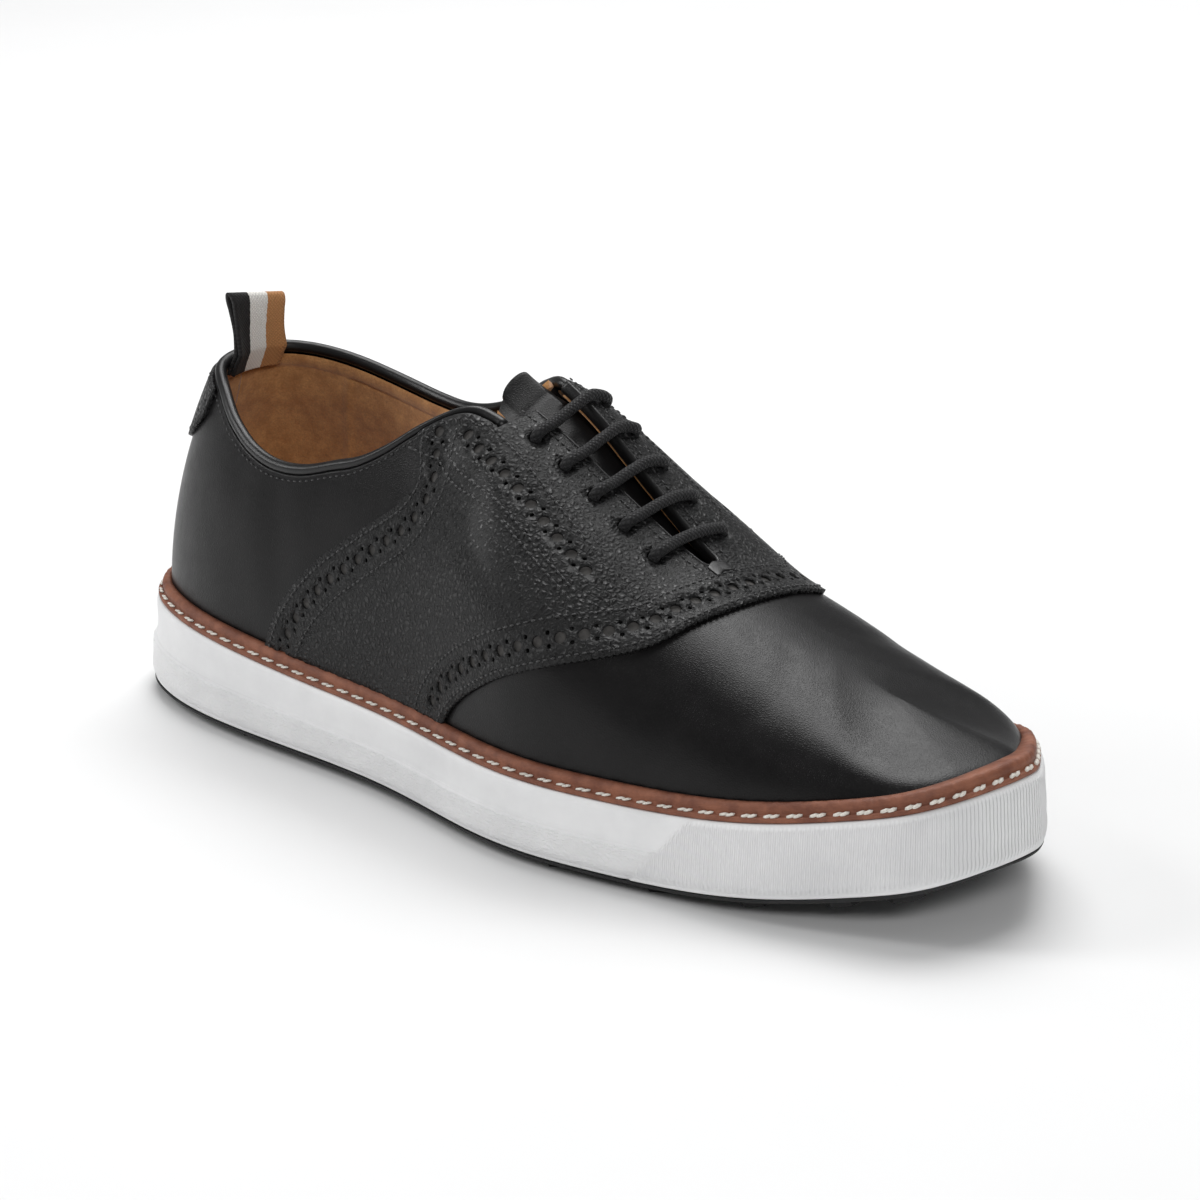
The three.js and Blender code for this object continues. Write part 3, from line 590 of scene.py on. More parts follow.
def make_pebble_group():
    """Rounded cells with furrows between them, as on printed leather."""
    tree, given, put = new_group(
        "pebbles", {"Vector": "Vector", "Cells": "Float"}, {"Height": "Float", "Furrow": "Float"}
    )
    noise = add(tree, "TexNoise", {"Vector": given["Vector"], "Scale": given["Cells"], "Detail": 1})
    centred = add(tree, "VectorMath", {0: noise.outputs["Color"], 1: (0.5, 0.5, 0.5)}, operation="SUBTRACT")
    reach = add(tree, "Math", {0: 0.7, 1: given["Cells"]}, operation="DIVIDE")
    pushed = add(
        tree, "VectorMath", {0: centred.outputs[0], "Scale": reach.outputs[0]}, operation="SCALE"
    )
    moved = add(tree, "VectorMath", {0: given["Vector"], 1: pushed.outputs[0]}, operation="ADD")
    cells = add(
        tree, "TexVoronoi", {"Vector": moved.outputs[0], "Scale": given["Cells"]},
        feature="DISTANCE_TO_EDGE",
    )
    dome = add(
        tree, "MapRange", {"Value": cells.outputs["Distance"], "From Max": 0.38},
        interpolation_type="SMOOTHSTEP",
    )
    furrow = add(tree, "Math", {0: 1.0, 1: dome.outputs[0]}, operation="SUBTRACT")
    tree.links.new(dome.outputs[0], put["Height"])
    tree.links.new(furrow.outputs[0], put["Furrow"])
    return tree


def make_mottle_group():
    """Uneven colour: soft patches between two colours."""
    tree, given, put = new_group(
        "mottling",
        {"Vector": "Vector", "Scale": "Float", "Dark": "Color", "Light": "Color"},
        {"Color": "Color", "Patches": "Float"},
    )
    noise = add(
        tree, "TexNoise",
        {"Vector": given["Vector"], "Scale": given["Scale"], "Detail": 5, "Roughness": 0.62},
    )
    patches = add(
        tree, "MapRange", {"Value": noise.outputs["Fac"], "From Min": 0.3, "From Max": 0.7},
        interpolation_type="SMOOTHSTEP",
    )
    mixed = add(tree, "MixRGB", {0: patches.outputs[0], 1: given["Dark"], 2: given["Light"]})
    tree.links.new(mixed.outputs[0], put["Color"])
    tree.links.new(patches.outputs[0], put["Patches"])
    return tree


def make_braid_group():
    """Diagonal strands that cross, along a cord or tape mapped in millimetres."""
    tree, given, put = new_group(
        "braiding", {"Vector": "Vector", "Along": "Float", "Around": "Float"}, {"Height": "Float"}
    )
    split = add(tree, "SeparateXYZ", {0: given["Vector"]})
    along = add(tree, "Math", {0: split.outputs[0], 1: given["Along"]}, operation="MULTIPLY")
    around = add(tree, "Math", {0: split.outputs[1], 1: given["Around"]}, operation="MULTIPLY")
    waves = []
    for operation in ("ADD", "SUBTRACT"):
        both = add(tree, "Math", {0: along.outputs[0], 1: around.outputs[0]}, operation=operation)
        wave = add(tree, "Math", {0: both.outputs[0]}, operation="SINE")
        waves.append(add(tree, "Math", {0: wave.outputs[0]}, operation="ABSOLUTE").outputs[0])
    strands = add(tree, "Math", {0: waves[0], 1: waves[1]}, operation="MULTIPLY")
    tree.links.new(strands.outputs[0], put["Height"])
    return tree


pebbles = make_pebble_group()
mottling = make_mottle_group()
braiding = make_braid_group()


def group(tree, nodes, inputs):
    made = add(tree, "Group")
    made.node_tree = nodes
    for key, value in inputs.items():
        if isinstance(value, bpy.types.NodeSocket):
            tree.links.new(value, made.inputs[key])
        else:
            made.inputs[key].default_value = value
    return made.outputs


class Finish:
    """A material with its Principled shader, object coordinates and map."""

    def __init__(self, name, **sockets):
        self.material = bpy.data.materials.new(name)
        self.material.use_nodes = True
        self.tree = self.material.node_tree
        self.shader = self.tree.nodes["Principled BSDF"]
        for key, value in sockets.items():
            self.shader.inputs[key.replace("_", " ")].default_value = value
        self.place = add(self.tree, "TexCoord").outputs["Object"]
        self.map = add(self.tree, "UVMap", uv_map="laid").outputs[0]
        self.normal = None

    def colours(self, scale, dark, light, place=None):
        made = group(
            self.tree, mottling,
            {"Vector": place or self.place, "Scale": scale, "Dark": (*dark, 1), "Light": (*light, 1)},
        )
        self.tree.links.new(made["Color"], self.shader.inputs["Base Color"])
        self.base = made["Color"]
        return made["Patches"]

    def rough(self, value, low, high):
        ranged = add(self.tree, "MapRange", {"Value": value, "To Min": low, "To Max": high})
        self.tree.links.new(ranged.outputs[0], self.shader.inputs["Roughness"])

    def bump(self, height, depth, strength=1.0):
        """Adds relief of a depth in millimetres over what is there."""
        inputs = {"Height": height, "Distance": depth * MM, "Strength": strength}
        if self.normal:
            inputs["Normal"] = self.normal
        self.normal = add(self.tree, "Bump", inputs).outputs[0]
        self.tree.links.new(self.normal, self.shader.inputs["Normal"])

    def noise(self, scale, detail=3.0, place=None, roughness=0.5):
        inputs = {"Vector": place or self.place, "Scale": scale, "Detail": detail, "Roughness": roughness}
        return add(self.tree, "TexNoise", inputs).outputs["Fac"]

    def pebble(self, cells):
        return group(self.tree, pebbles, {"Vector": self.place, "Cells": cells})

    def tint(self, factor, colour):
        """Mixes a colour over the base where the factor is 1."""
        mixed = add(self.tree, "MixRGB", {0: factor, 1: self.base, 2: (*colour, 1)})
        self.base = mixed.outputs[0]
        self.tree.links.new(self.base, self.shader.inputs["Base Color"])


def smooth_calf():
    leather = Finish("smooth black calf", Specular_IOR_Level=0.2, Coat_Weight=0.04, Coat_Roughness=0.2)
    patches = leather.colours(35, (0.0035, 0.0032, 0.0034), (0.0075, 0.0070, 0.0072))
    leather.rough(leather.noise(240, 4), 0.27, 0.42)
    grain = leather.pebble(1500)
    leather.bump(leather.noise(90, 2), 0.12, 0.5)
    leather.bump(grain["Height"], 0.035, 0.8)
    return leather.material


def pebbled_leather():
    leather = Finish(
        "pebbled black leather", Specular_IOR_Level=0.3, Coat_Weight=0.1, Coat_Roughness=0.24
    )
    leather.colours(60, (0.0038, 0.0036, 0.0038), (0.0085, 0.0080, 0.0082))
    grain = leather.pebble(600)
    leather.rough(grain["Furrow"], 0.28, 0.62)
    # Painted shade: the furrows between the pebbles are darkened in the colour
    leather.tint(grain["Furrow"], (0.004, 0.004, 0.0042))
    leather.bump(leather.noise(150, 2), 0.15, 0.5)
    leather.bump(grain["Height"], 0.4, 1.0)
    leather.bump(leather.noise(3200, 2), 0.02, 0.5)
    return leather.material


def trim_leather():
    leather = Finish("rolled black trim", Specular_IOR_Level=0.3, Coat_Weight=0.12, Coat_Roughness=0.16)
    leather.colours(80, (0.0035, 0.0033, 0.0035), (0.0080, 0.0076, 0.0078))
    leather.rough(leather.noise(300, 4), 0.28, 0.42)
    leather.bump(leather.noise(400, 3), 0.06, 0.6)
    leather.bump(leather.pebble(1700)["Height"], 0.03, 0.7)
    return leather.material


def hole_bottom():
    leather = Finish("grey backing in the holes")
    leather.colours(400, (0.035, 0.033, 0.031), (0.075, 0.070, 0.066))
    leather.rough(leather.noise(600), 0.6, 0.85)
    leather.bump(leather.noise(2500, 3), 0.05, 0.7)
    return leather.material


def welt_leather():
    leather = Finish("brown welt leather")
    leather.colours(160, (0.150, 0.046, 0.023), (0.265, 0.096, 0.050))
    leather.rough(leather.noise(500), 0.5, 0.75)
    stretched = add(leather.tree, "Mapping", {"Vector": leather.map, "Scale": (0.35, 1, 1)})
    leather.bump(leather.noise(1800, 4, stretched.outputs[0]), 0.16, 0.8)
    leather.bump(leather.noise(3600, 3), 0.05, 0.8)
    return leather.material


def white_rubber():
    """The upper band is smooth, the lower band wrinkled, and the toe's bumper ribbed."""
    rubber = Finish("white rubber", Subsurface_Weight=0.0)
    rubber.colours(30, (0.74, 0.74, 0.745), (0.83, 0.83, 0.832))
    rubber.rough(rubber.noise(200), 0.42, 0.58)
    tree = rubber.tree
    split = add(tree, "SeparateXYZ", {0: rubber.map})
    band = add(tree, "Attribute", attribute_name="band").outputs["Color"]
    bands = add(tree, "SeparateColor", {0: band})
    lower, bumper = bands.outputs[0], bands.outputs[1]
    wide = add(tree, "Mapping", {"Vector": rubber.map, "Scale": (0.55, 1, 1)})
    worms = rubber.noise(950, 2, wide.outputs[0])
    bent = add(tree, "MapRange", {"Value": worms, "From Min": 0.38, "From Max": 0.62})
    folded = add(tree, "Math", {0: bent.outputs[0], 1: 0.5}, operation="SUBTRACT")
    wormy = add(tree, "Math", {0: folded.outputs[0]}, operation="ABSOLUTE")
    lower_height = add(tree, "Math", {0: wormy.outputs[0], 1: lower}, operation="MULTIPLY")
    rubber.bump(lower_height.outputs[0], 0.35, 0.8)
    turned = add(tree, "Math", {0: split.outputs[0], 1: 2 * math.pi / 0.00125}, operation="MULTIPLY")
    ribs = add(tree, "Math", {0: turned.outputs[0]}, operation="SINE")
    ribs_up = add(tree, "MapRange", {"Value": ribs.outputs[0], "From Min": -1.0})
    rib_height = add(tree, "Math", {0: ribs_up.outputs[0], 1: bumper}, operation="MULTIPLY")
    rubber.bump(rib_height.outputs[0], 0.42, 0.9)
    rubber.bump(rubber.noise(500, 3), 0.03, 0.6)
    return rubber.material


def black_rubber():
    rubber = Finish("black rubber")
    rubber.colours(120, (0.005, 0.005, 0.0055), (0.011, 0.011, 0.0115))
    rubber.rough(rubber.noise(300), 0.55, 0.78)
    rubber.bump(rubber.noise(900, 4), 0.08, 0.7)
    return rubber.material


def suede(name, dark, light):
    napped = Finish(name, Sheen_Weight=0.25, Sheen_Roughness=0.6)
    napped.colours(210, dark, light)
    fine = napped.noise(1500, 5, roughness=0.7)
    spread = add(napped.tree, "MapRange", {"Value": fine, "From Min": 0.35, "From Max": 0.75, "To Max": 0.55})
    napped.tint(spread.outputs[0], tuple(0.42 * part for part in dark))
    napped.rough(fine, 0.8, 0.98)
    napped.bump(napped.noise(900, 4), 0.22, 0.7)
    napped.bump(napped.noise(3000, 3), 0.08, 0.8)
    return napped.material


def lace_cord():
    cord = Finish("braided black lace", Specular_IOR_Level=0.3, Sheen_Weight=0.05, Sheen_Roughness=0.5)
    cord.colours(500, (0.0045, 0.0045, 0.005), (0.012, 0.0115, 0.0125))
    braid = group(cord.tree, braiding, {"Vector": cord.map, "Along": math.pi / 0.0013, "Around": 6 * math.pi})
    cord.rough(braid["Height"], 0.8, 0.45)
    cord.bump(braid["Height"], 0.32, 0.9)
    fine = add(cord.tree, "Mapping", {"Vector": cord.map, "Scale": (1, 0.01, 1)})
    cord.bump(cord.noise(4200, 2, fine.outputs[0]), 0.05, 0.7)
    return cord.material


def sewing_thread(name, dark, light, roughness=0.6):
    thread = Finish(name, Sheen_Weight=0.15)
    thread.colours(900, dark, light)
    thread.rough(thread.noise(1500), roughness - 0.1, roughness + 0.15)
    thread.bump(thread.noise(3500, 2), 0.06, 0.8)
    return thread.material


def striped_tape():
    """Three woven stripes across the tape: black, white and tan."""
    tape = Finish("striped tape", Specular_IOR_Level=0.3, Sheen_Weight=0.05, Sheen_Roughness=0.5)
    tape.colours(700, (0.006, 0.0055, 0.006), (0.016, 0.015, 0.0155))
    tree = tape.tree
    across = add(tree, "SeparateXYZ", {0: tape.map}).outputs[1]
    wobble = add(tree, "Math", {0: tape.noise(1200, 1), 1: 0.0006}, operation="MULTIPLY")
    edge = add(tree, "Math", {0: across, 1: wobble.outputs[0]}, operation="ADD").outputs[0]
    for start, colour in ((0.0065, (0.86, 0.84, 0.80)), (0.0131, (0.50, 0.235, 0.09))):
        past = add(tree, "Math", {0: edge, 1: start}, operation="GREATER_THAN")
        tape.tint(past.outputs[0], colour)
    weave = group(tree, braiding, {"Vector": tape.map, "Along": math.pi / 0.0011, "Around": math.pi / 0.0011})
    # Painted shade: the hollows between the woven strands are darkened in the colour
    tape.tint(add(tree, "MapRange", {"Value": weave["Height"], "To Min": 0.22, "To Max": 0.0}).outputs[0],
              (0.02, 0.017, 0.015))
    tape.rough(weave["Height"], 0.85, 0.65)
    tape.bump(weave["Height"], 0.2, 0.8)
    return tape.material


def studio_paper():
    paper = Finish("pale studio floor")
    paper.colours(3, (0.80, 0.80, 0.80), (0.82, 0.82, 0.82))
    paper.rough(paper.noise(40), 0.85, 0.95)
    return paper.material


calf = smooth_calf()
pebbled = pebbled_leather()
trim = trim_leather()
backing = hole_bottom()
brown = welt_leather()
white = white_rubber()
tread_black = black_rubber()
tan_suede = suede("tan suede lining", (0.42, 0.185, 0.055), (0.60, 0.30, 0.105))
lace_black = lace_cord()
black_thread = sewing_thread("black sewing thread", (0.012, 0.012, 0.0125), (0.028, 0.027, 0.028), 0.4)
pale_thread = sewing_thread("off-white waxed thread", (0.60, 0.56, 0.50), (0.76, 0.73, 0.67), 0.55)
tape_stripes = striped_tape()


# The camera, at the photograph's angle

camera_turn = math.radians(41.837)
camera_rise = math.radians(19.308)
camera_roll = math.radians(0.28)
camera_distance = 1092.5
camera_target = np.array([11.755, 0, 57.162])
camera_lens = 117.37


def make_camera():
    back = np.array([
        math.sin(camera_turn) * math.cos(camera_rise),
        -math.cos(camera_turn) * math.cos(camera_rise),
        math.sin(camera_rise),
    ])
    right = np.array([math.cos(camera_turn), math.sin(camera_turn), 0])
    up = np.cross(back, right)
    right, up = (
        right * math.cos(camera_roll) + up * math.sin(camera_roll),
        up * math.cos(camera_roll) - right * math.sin(camera_roll),
    )
    data = bpy.data.cameras.new("camera")
    data.lens = camera_lens
    data.sensor_width = 36
    data.clip_end = 50
    camera = bpy.data.objects.new("camera", data)
    bpy.context.collection.objects.link(camera)
    turned = Matrix(np.stack([right, up, back], 1).tolist()).to_4x4()
    turned.translation = Vector((camera_target + back * camera_distance + shift) * MM)
    camera.matrix_world = turned
    bpy.context.scene.camera = camera


def softbox(name, place, target, width, height, power):
    light = bpy.data.lights.new(name, "AREA")
    light.shape = "RECTANGLE"
    light.size = width
    light.size_y = height
    light.energy = power
    lamp = bpy.data.objects.new(name, light)
    bpy.context.collection.objects.link(lamp)
    lamp.location = place
    lamp.rotation_euler = (Vector(target) - Vector(place)).to_track_quat("-Z", "Y").to_euler()


def make_studio():
    bm = bmesh.new()
    bmesh.ops.create_grid(bm, x_segments=1, y_segments=1, size=6)
    mesh = bpy.data.meshes.new("floor")
    bm.to_mesh(mesh)
    bm.free()
    floor = bpy.data.objects.new("floor", mesh)
    bpy.context.collection.objects.link(floor)
    mesh.materials.append(studio_paper())
    softbox("overhead", (-0.35, 0.45, 1.5), (0, 0, 0), 1.1, 0.7, 13)
    softbox("left", (-0.95, -0.75, 0.8), (0, 0, 0.06), 0.35, 0.9, 7)
    softbox("front", (1.0, -0.75, 0.85), (0.06, 0, 0.04), 0.8, 0.28, 7)
    softbox("backdrop", (-0.9, 1.5, 2.2), (-0.9, 1.9, 0), 2.4, 1.6, 44)
    world = bpy.data.worlds.new("studio")
    world.use_nodes = True
    world.node_tree.nodes["Background"].inputs[0].default_value = (0.95, 0.96, 0.97, 1)
    world.node_tree.nodes["Background"].inputs[1].default_value = 0.22
    bpy.context.scene.world = world
    bpy.context.scene.view_settings.view_transform = "Standard"


# Pieces

# Creases of the vamp and quarter, each from one place of the chart to another: turn and way
# at both ends, then depth and half width in millimetres
crease_table = (
    (128, -52, 134, -12, 0.1, 3.4),
    (126, -62, 124, -80, 0.12, 4.0),
    (131, 14, 127, 50, 0.1, 3.4),
    (46, -48, 58, -76, 0.22, 5.0),
    (36, -33, 47, -62, 0.2, 5.0),
)


def crease_depth(chart):
    """Soft troughs with a low ridge on each side."""
    plane = chart_plane(chart)
    depth = np.zeros(len(chart))
    for t0, w0, t1, w1, deep, half in crease_table:
        a, b = chart_plane(np.array([[t0, w0], [t1, w1]], float))
        along = np.clip(((plane - a) @ (b - a)) / ((b - a) @ (b - a)), 0, 1)
        bow = 3 * np.sin(np.pi * along)[:, None] * np.array([[1, 0]])
        gap = np.linalg.norm(plane - (a + (b - a) * along[:, None] + bow), axis=1) / half
        depth += deep * (np.exp(-gap**2) - 0.45 * np.exp(-((gap - 1.9) ** 2)))
    return depth


def make_upper():
    """The smooth vamp and quarters, all the way round, up to the collar and the throat."""
    bm, u, v = grid(360, 84)
    turn = u * 360
    top = wall_top(turn)
    rise = v * top
    chart = np.stack([near_turn(turn), np.where(is_outer(turn), rise - 90, 90 - rise)], -1)
    fade = np.clip(v * 6, 0, 1)
    points = off_last(turn, rise, -crease_depth(chart) * fade)
    lay(bm, points, u, v)
    turn_outward(bm, np.array([0, 0, 50]))
    piece = new_piece("leather_upper", bm, [calf], ["upper"])
    thicken(piece, 1.1)


def lining_depth(turn, from_top):
    """How far the lining stands in: it is padded below a stitched roll at the top."""
    roll = np.where(from_top < 5, np.sqrt(np.clip(1 - ((from_top - 2.4) / 2.6) ** 2, 0, 1)), 0)
    padded = 1.3 * np.exp(-(((from_top - 14) / 10) ** 2)) * (from_top > 5)
    seam = 0.55 * np.exp(-(((turn - 322) / 0.75) ** 4)) + 0.55 * np.exp(-(((turn - 38) / 0.75) ** 4))
    return 2.3 + 1.1 * roll + padded + np.where(from_top > 5, seam, 0)


def make_lining():
    bm, u, v = grid(420, 90)
    turn = u * 360
    top = wall_top(turn)
    rise = top * (1 - (1 - v) ** 1.6)
    chord = np.linalg.norm(last(turn, top) - last(turn, rise), axis=-1)
    opened = np.clip((112 - near_turn(turn)) / 8, 0, 1)
    depth = 2.3 + (lining_depth(turn, chord) - 2.3) * opened * np.clip(v * 8, 0, 1)
    lay(bm, off_last(turn, rise, -depth), u, v)
    turn_outward(bm, np.array([0, 0, 50]))
    piece = new_piece("suede_lining", bm, [tan_suede], ["upper"])
    thicken(piece, 1.0, 1.0)


def edge_line(rows, ways):
    """The saddle's edge on the chart: the turn at which each way meets it."""
    def ahead(turn):
        signed = np.where(ways < 0, turn, -turn)
        point = last(signed, 90 - np.abs(ways))
        edge = sole_length * through(rows, "along", point[..., 2] / instep_height)
        return point[..., 0] - saddle_slant * point[..., 1] - edge
    turn = solve(ahead, np.zeros(len(ways)), 30, 140)
    return np.stack([turn, ways], -1)


def scalloped(line, pitch=1.9, depth=0.5):
    """A gimped edge: small even scallops, to the right of the line's course."""
    fine = spaced(line, pitch / 6)
    bumps = np.abs(np.sin(np.pi * np.arange(len(fine)) / 6))
    return beside(fine, -depth * bumps)


foot_way = 88.0
all_ways = np.linspace(-foot_way, foot_way, 360)
rear_edge = edge_line(saddle_rear, all_ways)
front_edge = edge_line(saddle_front, all_ways)
rear_top = 90 - wall_top(np.where(rear_edge[:, 1] < 0, rear_edge[:, 0], -rear_edge[:, 0]), 4.0)
outer_rear = rear_edge[rear_edge[:, 1] < -rear_top]
inner_rear = rear_edge[rear_edge[:, 1] > rear_top]


def collar_line(start, end, side, lower=4.0, pitch=1.5):
    """The leather's top edge from one turn to another, on the outer or the inner side."""
    turn = np.linspace(start, end, 160)
    signed = turn if side < 0 else -turn
    line = np.stack([turn, side * (90 - wall_top(signed, lower))], -1)
    return spaced(line, pitch)


def throat_line(start, end, side, extra=0.0):
    turn = np.linspace(start, end, 80)
    share = (turn - throat_top_turn) / (throat_end_turn - throat_top_turn)
    gap = throat_top_gap + (throat_end_gap - throat_top_gap) * share + extra
    rise = rise_at_reach(turn if side < 0 else -turn, gap)
    return np.stack([turn, side * (90 - rise)], -1)


def throat_end(extra=0.0):
    """The rounded end of the throat, from its outer to its inner side."""
    angle = np.linspace(-np.pi / 2, np.pi / 2, 13)
    centre = np.array([[throat_end_turn + 0.0, 1e-6]])
    centres = np.repeat(centre, len(angle), 0)
    radius = throat_end_gap + extra
    move = np.stack([np.cos(angle), np.sin(angle), 0 * angle], -1) * radius
    move[:, 2] = move[:, 0] * ridge_slope(centres[:, 0])
    return centres + chart_step(centres, move)


def eyestay_line(side, extra=0.0):
    turn = np.linspace(67, 104, 70)
    signed = turn if side < 0 else -turn
    along = ridge(signed)[:, 0] / sole_length
    share = 1 if side < 0 else inner_eyestay_share
    for _ in range(5):
        rise = rise_at_reach(signed, through(eyestay_table, "reach", along) * share + extra)
        along = last(signed, rise)[:, 0] / sole_length
    line = np.stack([turn, side * (90 - rise)], -1)
    return line[(rise < collar_rise(signed, 7.5)) & (rise > 33)]


def facing_place(along, side, reach):
    """The place on a facing at a share of the length and a reach from the middle."""
    turns = np.linspace(60, throat_end_turn, 109)
    signed = turns if side < 0 else -turns
    rises = rise_at_reach(signed, reach)
    x = last(signed, rises)[:, 0]
    turn = np.interp(along * sole_length, x, turns)
    return np.array([turn, side * (90 - np.interp(turn, turns, rises))])


def inset_line(line, distance, cut=0.0):
    moved = beside(spaced(line, 2.0), distance)
    clear = wall_top(np.where(moved[:, 1] < 0, moved[:, 0], -moved[:, 0]), 4.0 + cut)
    return moved[(90 - np.abs(moved[:, 1]) < clear) & (np.abs(moved[:, 1]) < foot_way)]


def band_holes(line, pitch=6.5, large=1.65, small=0.68, spread=1.8):
    """A brogue band: large holes with a pair of small ones between each two."""
    places = spaced(line, pitch / 2)
    holes = [hole(place, large, 14) for place in places[::2]]
    larges = list(places[::2])
    steps = np.gradient(on_last(places), axis=0)
    for i in range(1, len(places), 2):
        along = steps[i] / np.linalg.norm(steps[i])
        side = np.cross(chart_normal(places[i]), along)
        for way in (-1, 1):
            centre = places[i] + chart_step(places[i], side * way * spread)
            holes.append(hole(centre, small, 8))
    return holes, larges


def lines_of_bands():
    """Middle lines of the saddle's rows of holes."""
    front = inset_line(front_edge, 6.6)
    lines = [front[np.abs(front[:, 1]) < 84]]
    for rear in (outer_rear, inner_rear):
        lines.append(inset_line(rear, -6.6, 3.0))
    for side in (-1, 1):
        lines.append(eyestay_line(side))
    return lines


def make_saddle():
    """The pebbled saddle: one panel with its throat, gimped edges and punched bands."""
    last_outer = outer_rear[-1]
    first_inner = inner_rear[0]
    start, end = rear_edge[0, 0], front_edge[0, 0]
    foot_outer = np.stack([np.linspace(end, start, 60), np.full(60, -foot_way)], -1)
    inner_start, inner_end = rear_edge[-1, 0], front_edge[-1, 0]
    foot_inner = np.stack([np.linspace(inner_start, inner_end, 60), np.full(60, foot_way)], -1)
    edge = np.concatenate([
        scalloped(outer_rear[::-1])[::-1][:-1],
        collar_line(last_outer[0], throat_top_turn, -1)[1:],
        spaced(throat_line(throat_top_turn + 0.2, throat_end_turn, -1), 1.5),
        throat_end()[1:-1],
        spaced(throat_line(throat_end_turn, throat_top_turn + 0.2, 1), 1.5),
        collar_line(throat_top_turn, first_inner[0], 1)[:-1],
        scalloped(inner_rear[::-1])[::-1],
        foot_inner[1:-1],
        scalloped(front_edge)[::-1],
        foot_outer[1:-1],
    ])
    holes = []
    bottoms = []
    for line in lines_of_bands():
        punched, larges = band_holes(line)
        holes += punched
        bottoms += larges
    for side in (-1, 1):
        for along in eyelet_rows:
            holes.append(hole(facing_place(along, side, eyelet_reach), eyelet_radius, 16))
    chart, triangles = punched_panel(edge, holes, 2.1)
    bm = panel_mesh(chart, triangles, overlay_top)
    turn_outward(bm, np.array([0, 0, 40]))
    piece = new_piece("pebbled_saddle", bm, [pebbled], ["saddle"])
    thicken(piece, 1.4)
    discs = bmesh.new()
    for place in bottoms:
        normal = chart_normal(place)
        turned = Vector(normal).to_track_quat("Z", "Y").to_matrix().to_4x4()
        turned.translation = Vector((on_last(place, 0.32) + shift) * MM)
        bmesh.ops.create_cone(
            discs, cap_ends=True, segments=10, radius1=1.9 * MM, radius2=1.9 * MM, depth=0.4 * MM,
            matrix=turned,
        )
    new_piece("hole_backing", discs, [backing], smooth=False)


def make_saddle_stitching():
    bm = bmesh.new()
    rows = []
    for inset in (1.5, 12.2):
        rows.append(inset_line(front_edge, inset))
        for rear in (outer_rear, inner_rear):
            rows.append(inset_line(rear, -inset, 1.0))
    for side in (-1, 1):
        rows += [eyestay_line(side, 5.6), eyestay_line(side, 7.6), eyestay_line(side, -5.6)]
        rows.append(throat_line(throat_top_turn, throat_end_turn, side, 3.2))
    for row in rows:
        stitch_row(bm, row, 2.2, 1.7, 0.62, overlay_top + 0.08)
    new_piece("saddle_stitching", bm, [black_thread])


# Half the heel tab from the back: across is a share of ball_width, up a share of collar_height
heel_tab_edge = (
    (0.205, 1.0), (0.205, 0.85), (0.2, 0.815), (0.188, 0.783), (0.17, 0.762), (0.145, 0.744),
    (0.115, 0.733), (0.085, 0.728), (0.04, 0.728), (0, 0.728),
)


def heel_place(across, height):
    """The chart place on the back of the heel with this y and z."""
    turn = np.full(np.shape(across), 5.0) * np.sign(across + 1e-9) * -1
    chart = np.stack([turn, np.full(np.shape(across), -40.0)], -1)
    for _ in range(30):
        point = on_last(chart)
        miss = np.stack([0 * point[:, 0], across - point[:, 1], height - point[:, 2]], -1)
        small = 0.05
        a = (on_last(chart + [small, 0]) - on_last(chart - [small, 0]))[:, 1:] / (2 * small)
        b = (on_last(chart + [0, small]) - on_last(chart - [0, small]))[:, 1:] / (2 * small)
        slopes = np.stack([a, b], -1)
        chart = chart + 0.8 * np.einsum("nij,nj->ni", np.linalg.pinv(slopes), miss[:, 1:])
    return chart


def heel_plane(chart):
    return np.stack([chart[:, 0] * 1.9, chart[:, 1] * 1.15], -1)


def heel_unplane(flat):
    return np.stack([flat[:, 0] / 1.9, flat[:, 1] / 1.15], -1)


def make_heel_tab():
    half = np.array(heel_tab_edge)
    lower = np.concatenate([half[1:], (half[1:-1] * [-1, 1])[::-1]])
    at = np.concatenate([[0], np.cumsum(np.linalg.norm(np.diff(lower, axis=0), axis=1))])
    even = np.linspace(0, at[-1], 60)
    across = np.interp(even, at, lower[:, 0]) * ball_width
    height = np.interp(even, at, lower[:, 1]) * collar_height
    line = heel_place(across, height)
    first = line[0, 0]
    final = line[-1, 0]
    turns = np.linspace(final, first, 40)
    top = np.stack([turns, -(90 - wall_top(turns, 4.0))], -1)
    edge = np.concatenate([line, top])
    holes = []
    for way in (-1, 1):
        for i in range(5):
            spot = heel_place(np.array([way * (20.3 - 0.8 * i)]), np.array([92 - 4.0 * i]))[0]
            holes.append(hole(spot, 0.5, 8))
    chart, triangles = punched_panel(edge, holes, 1.8, heel_plane, heel_unplane)
    bm = panel_mesh(chart, triangles, overlay_top)
    turn_outward(bm, np.array([-60, 0, 60]))
    piece = new_piece("pebbled_heel_tab", bm, [pebbled], ["heel_tab"])
    thicken(piece, 1.4)
    sewn = bmesh.new()
    inset = 1.6
    middle = len(line) // 2
    if on_last(beside(line, inset))[middle, 2] < on_last(line)[middle, 2]:
        inset = -inset
    stitch_row(sewn, beside(line, inset), 2.1, 1.5, 0.5, overlay_top + 0.02)
    new_piece("heel_tab_stitching", sewn, [black_thread])


def collar_route(steps):
    """Signed turns from the throat's outer corner round the heel to its inner corner."""
    return np.linspace(throat_top_turn, -throat_top_turn, steps)


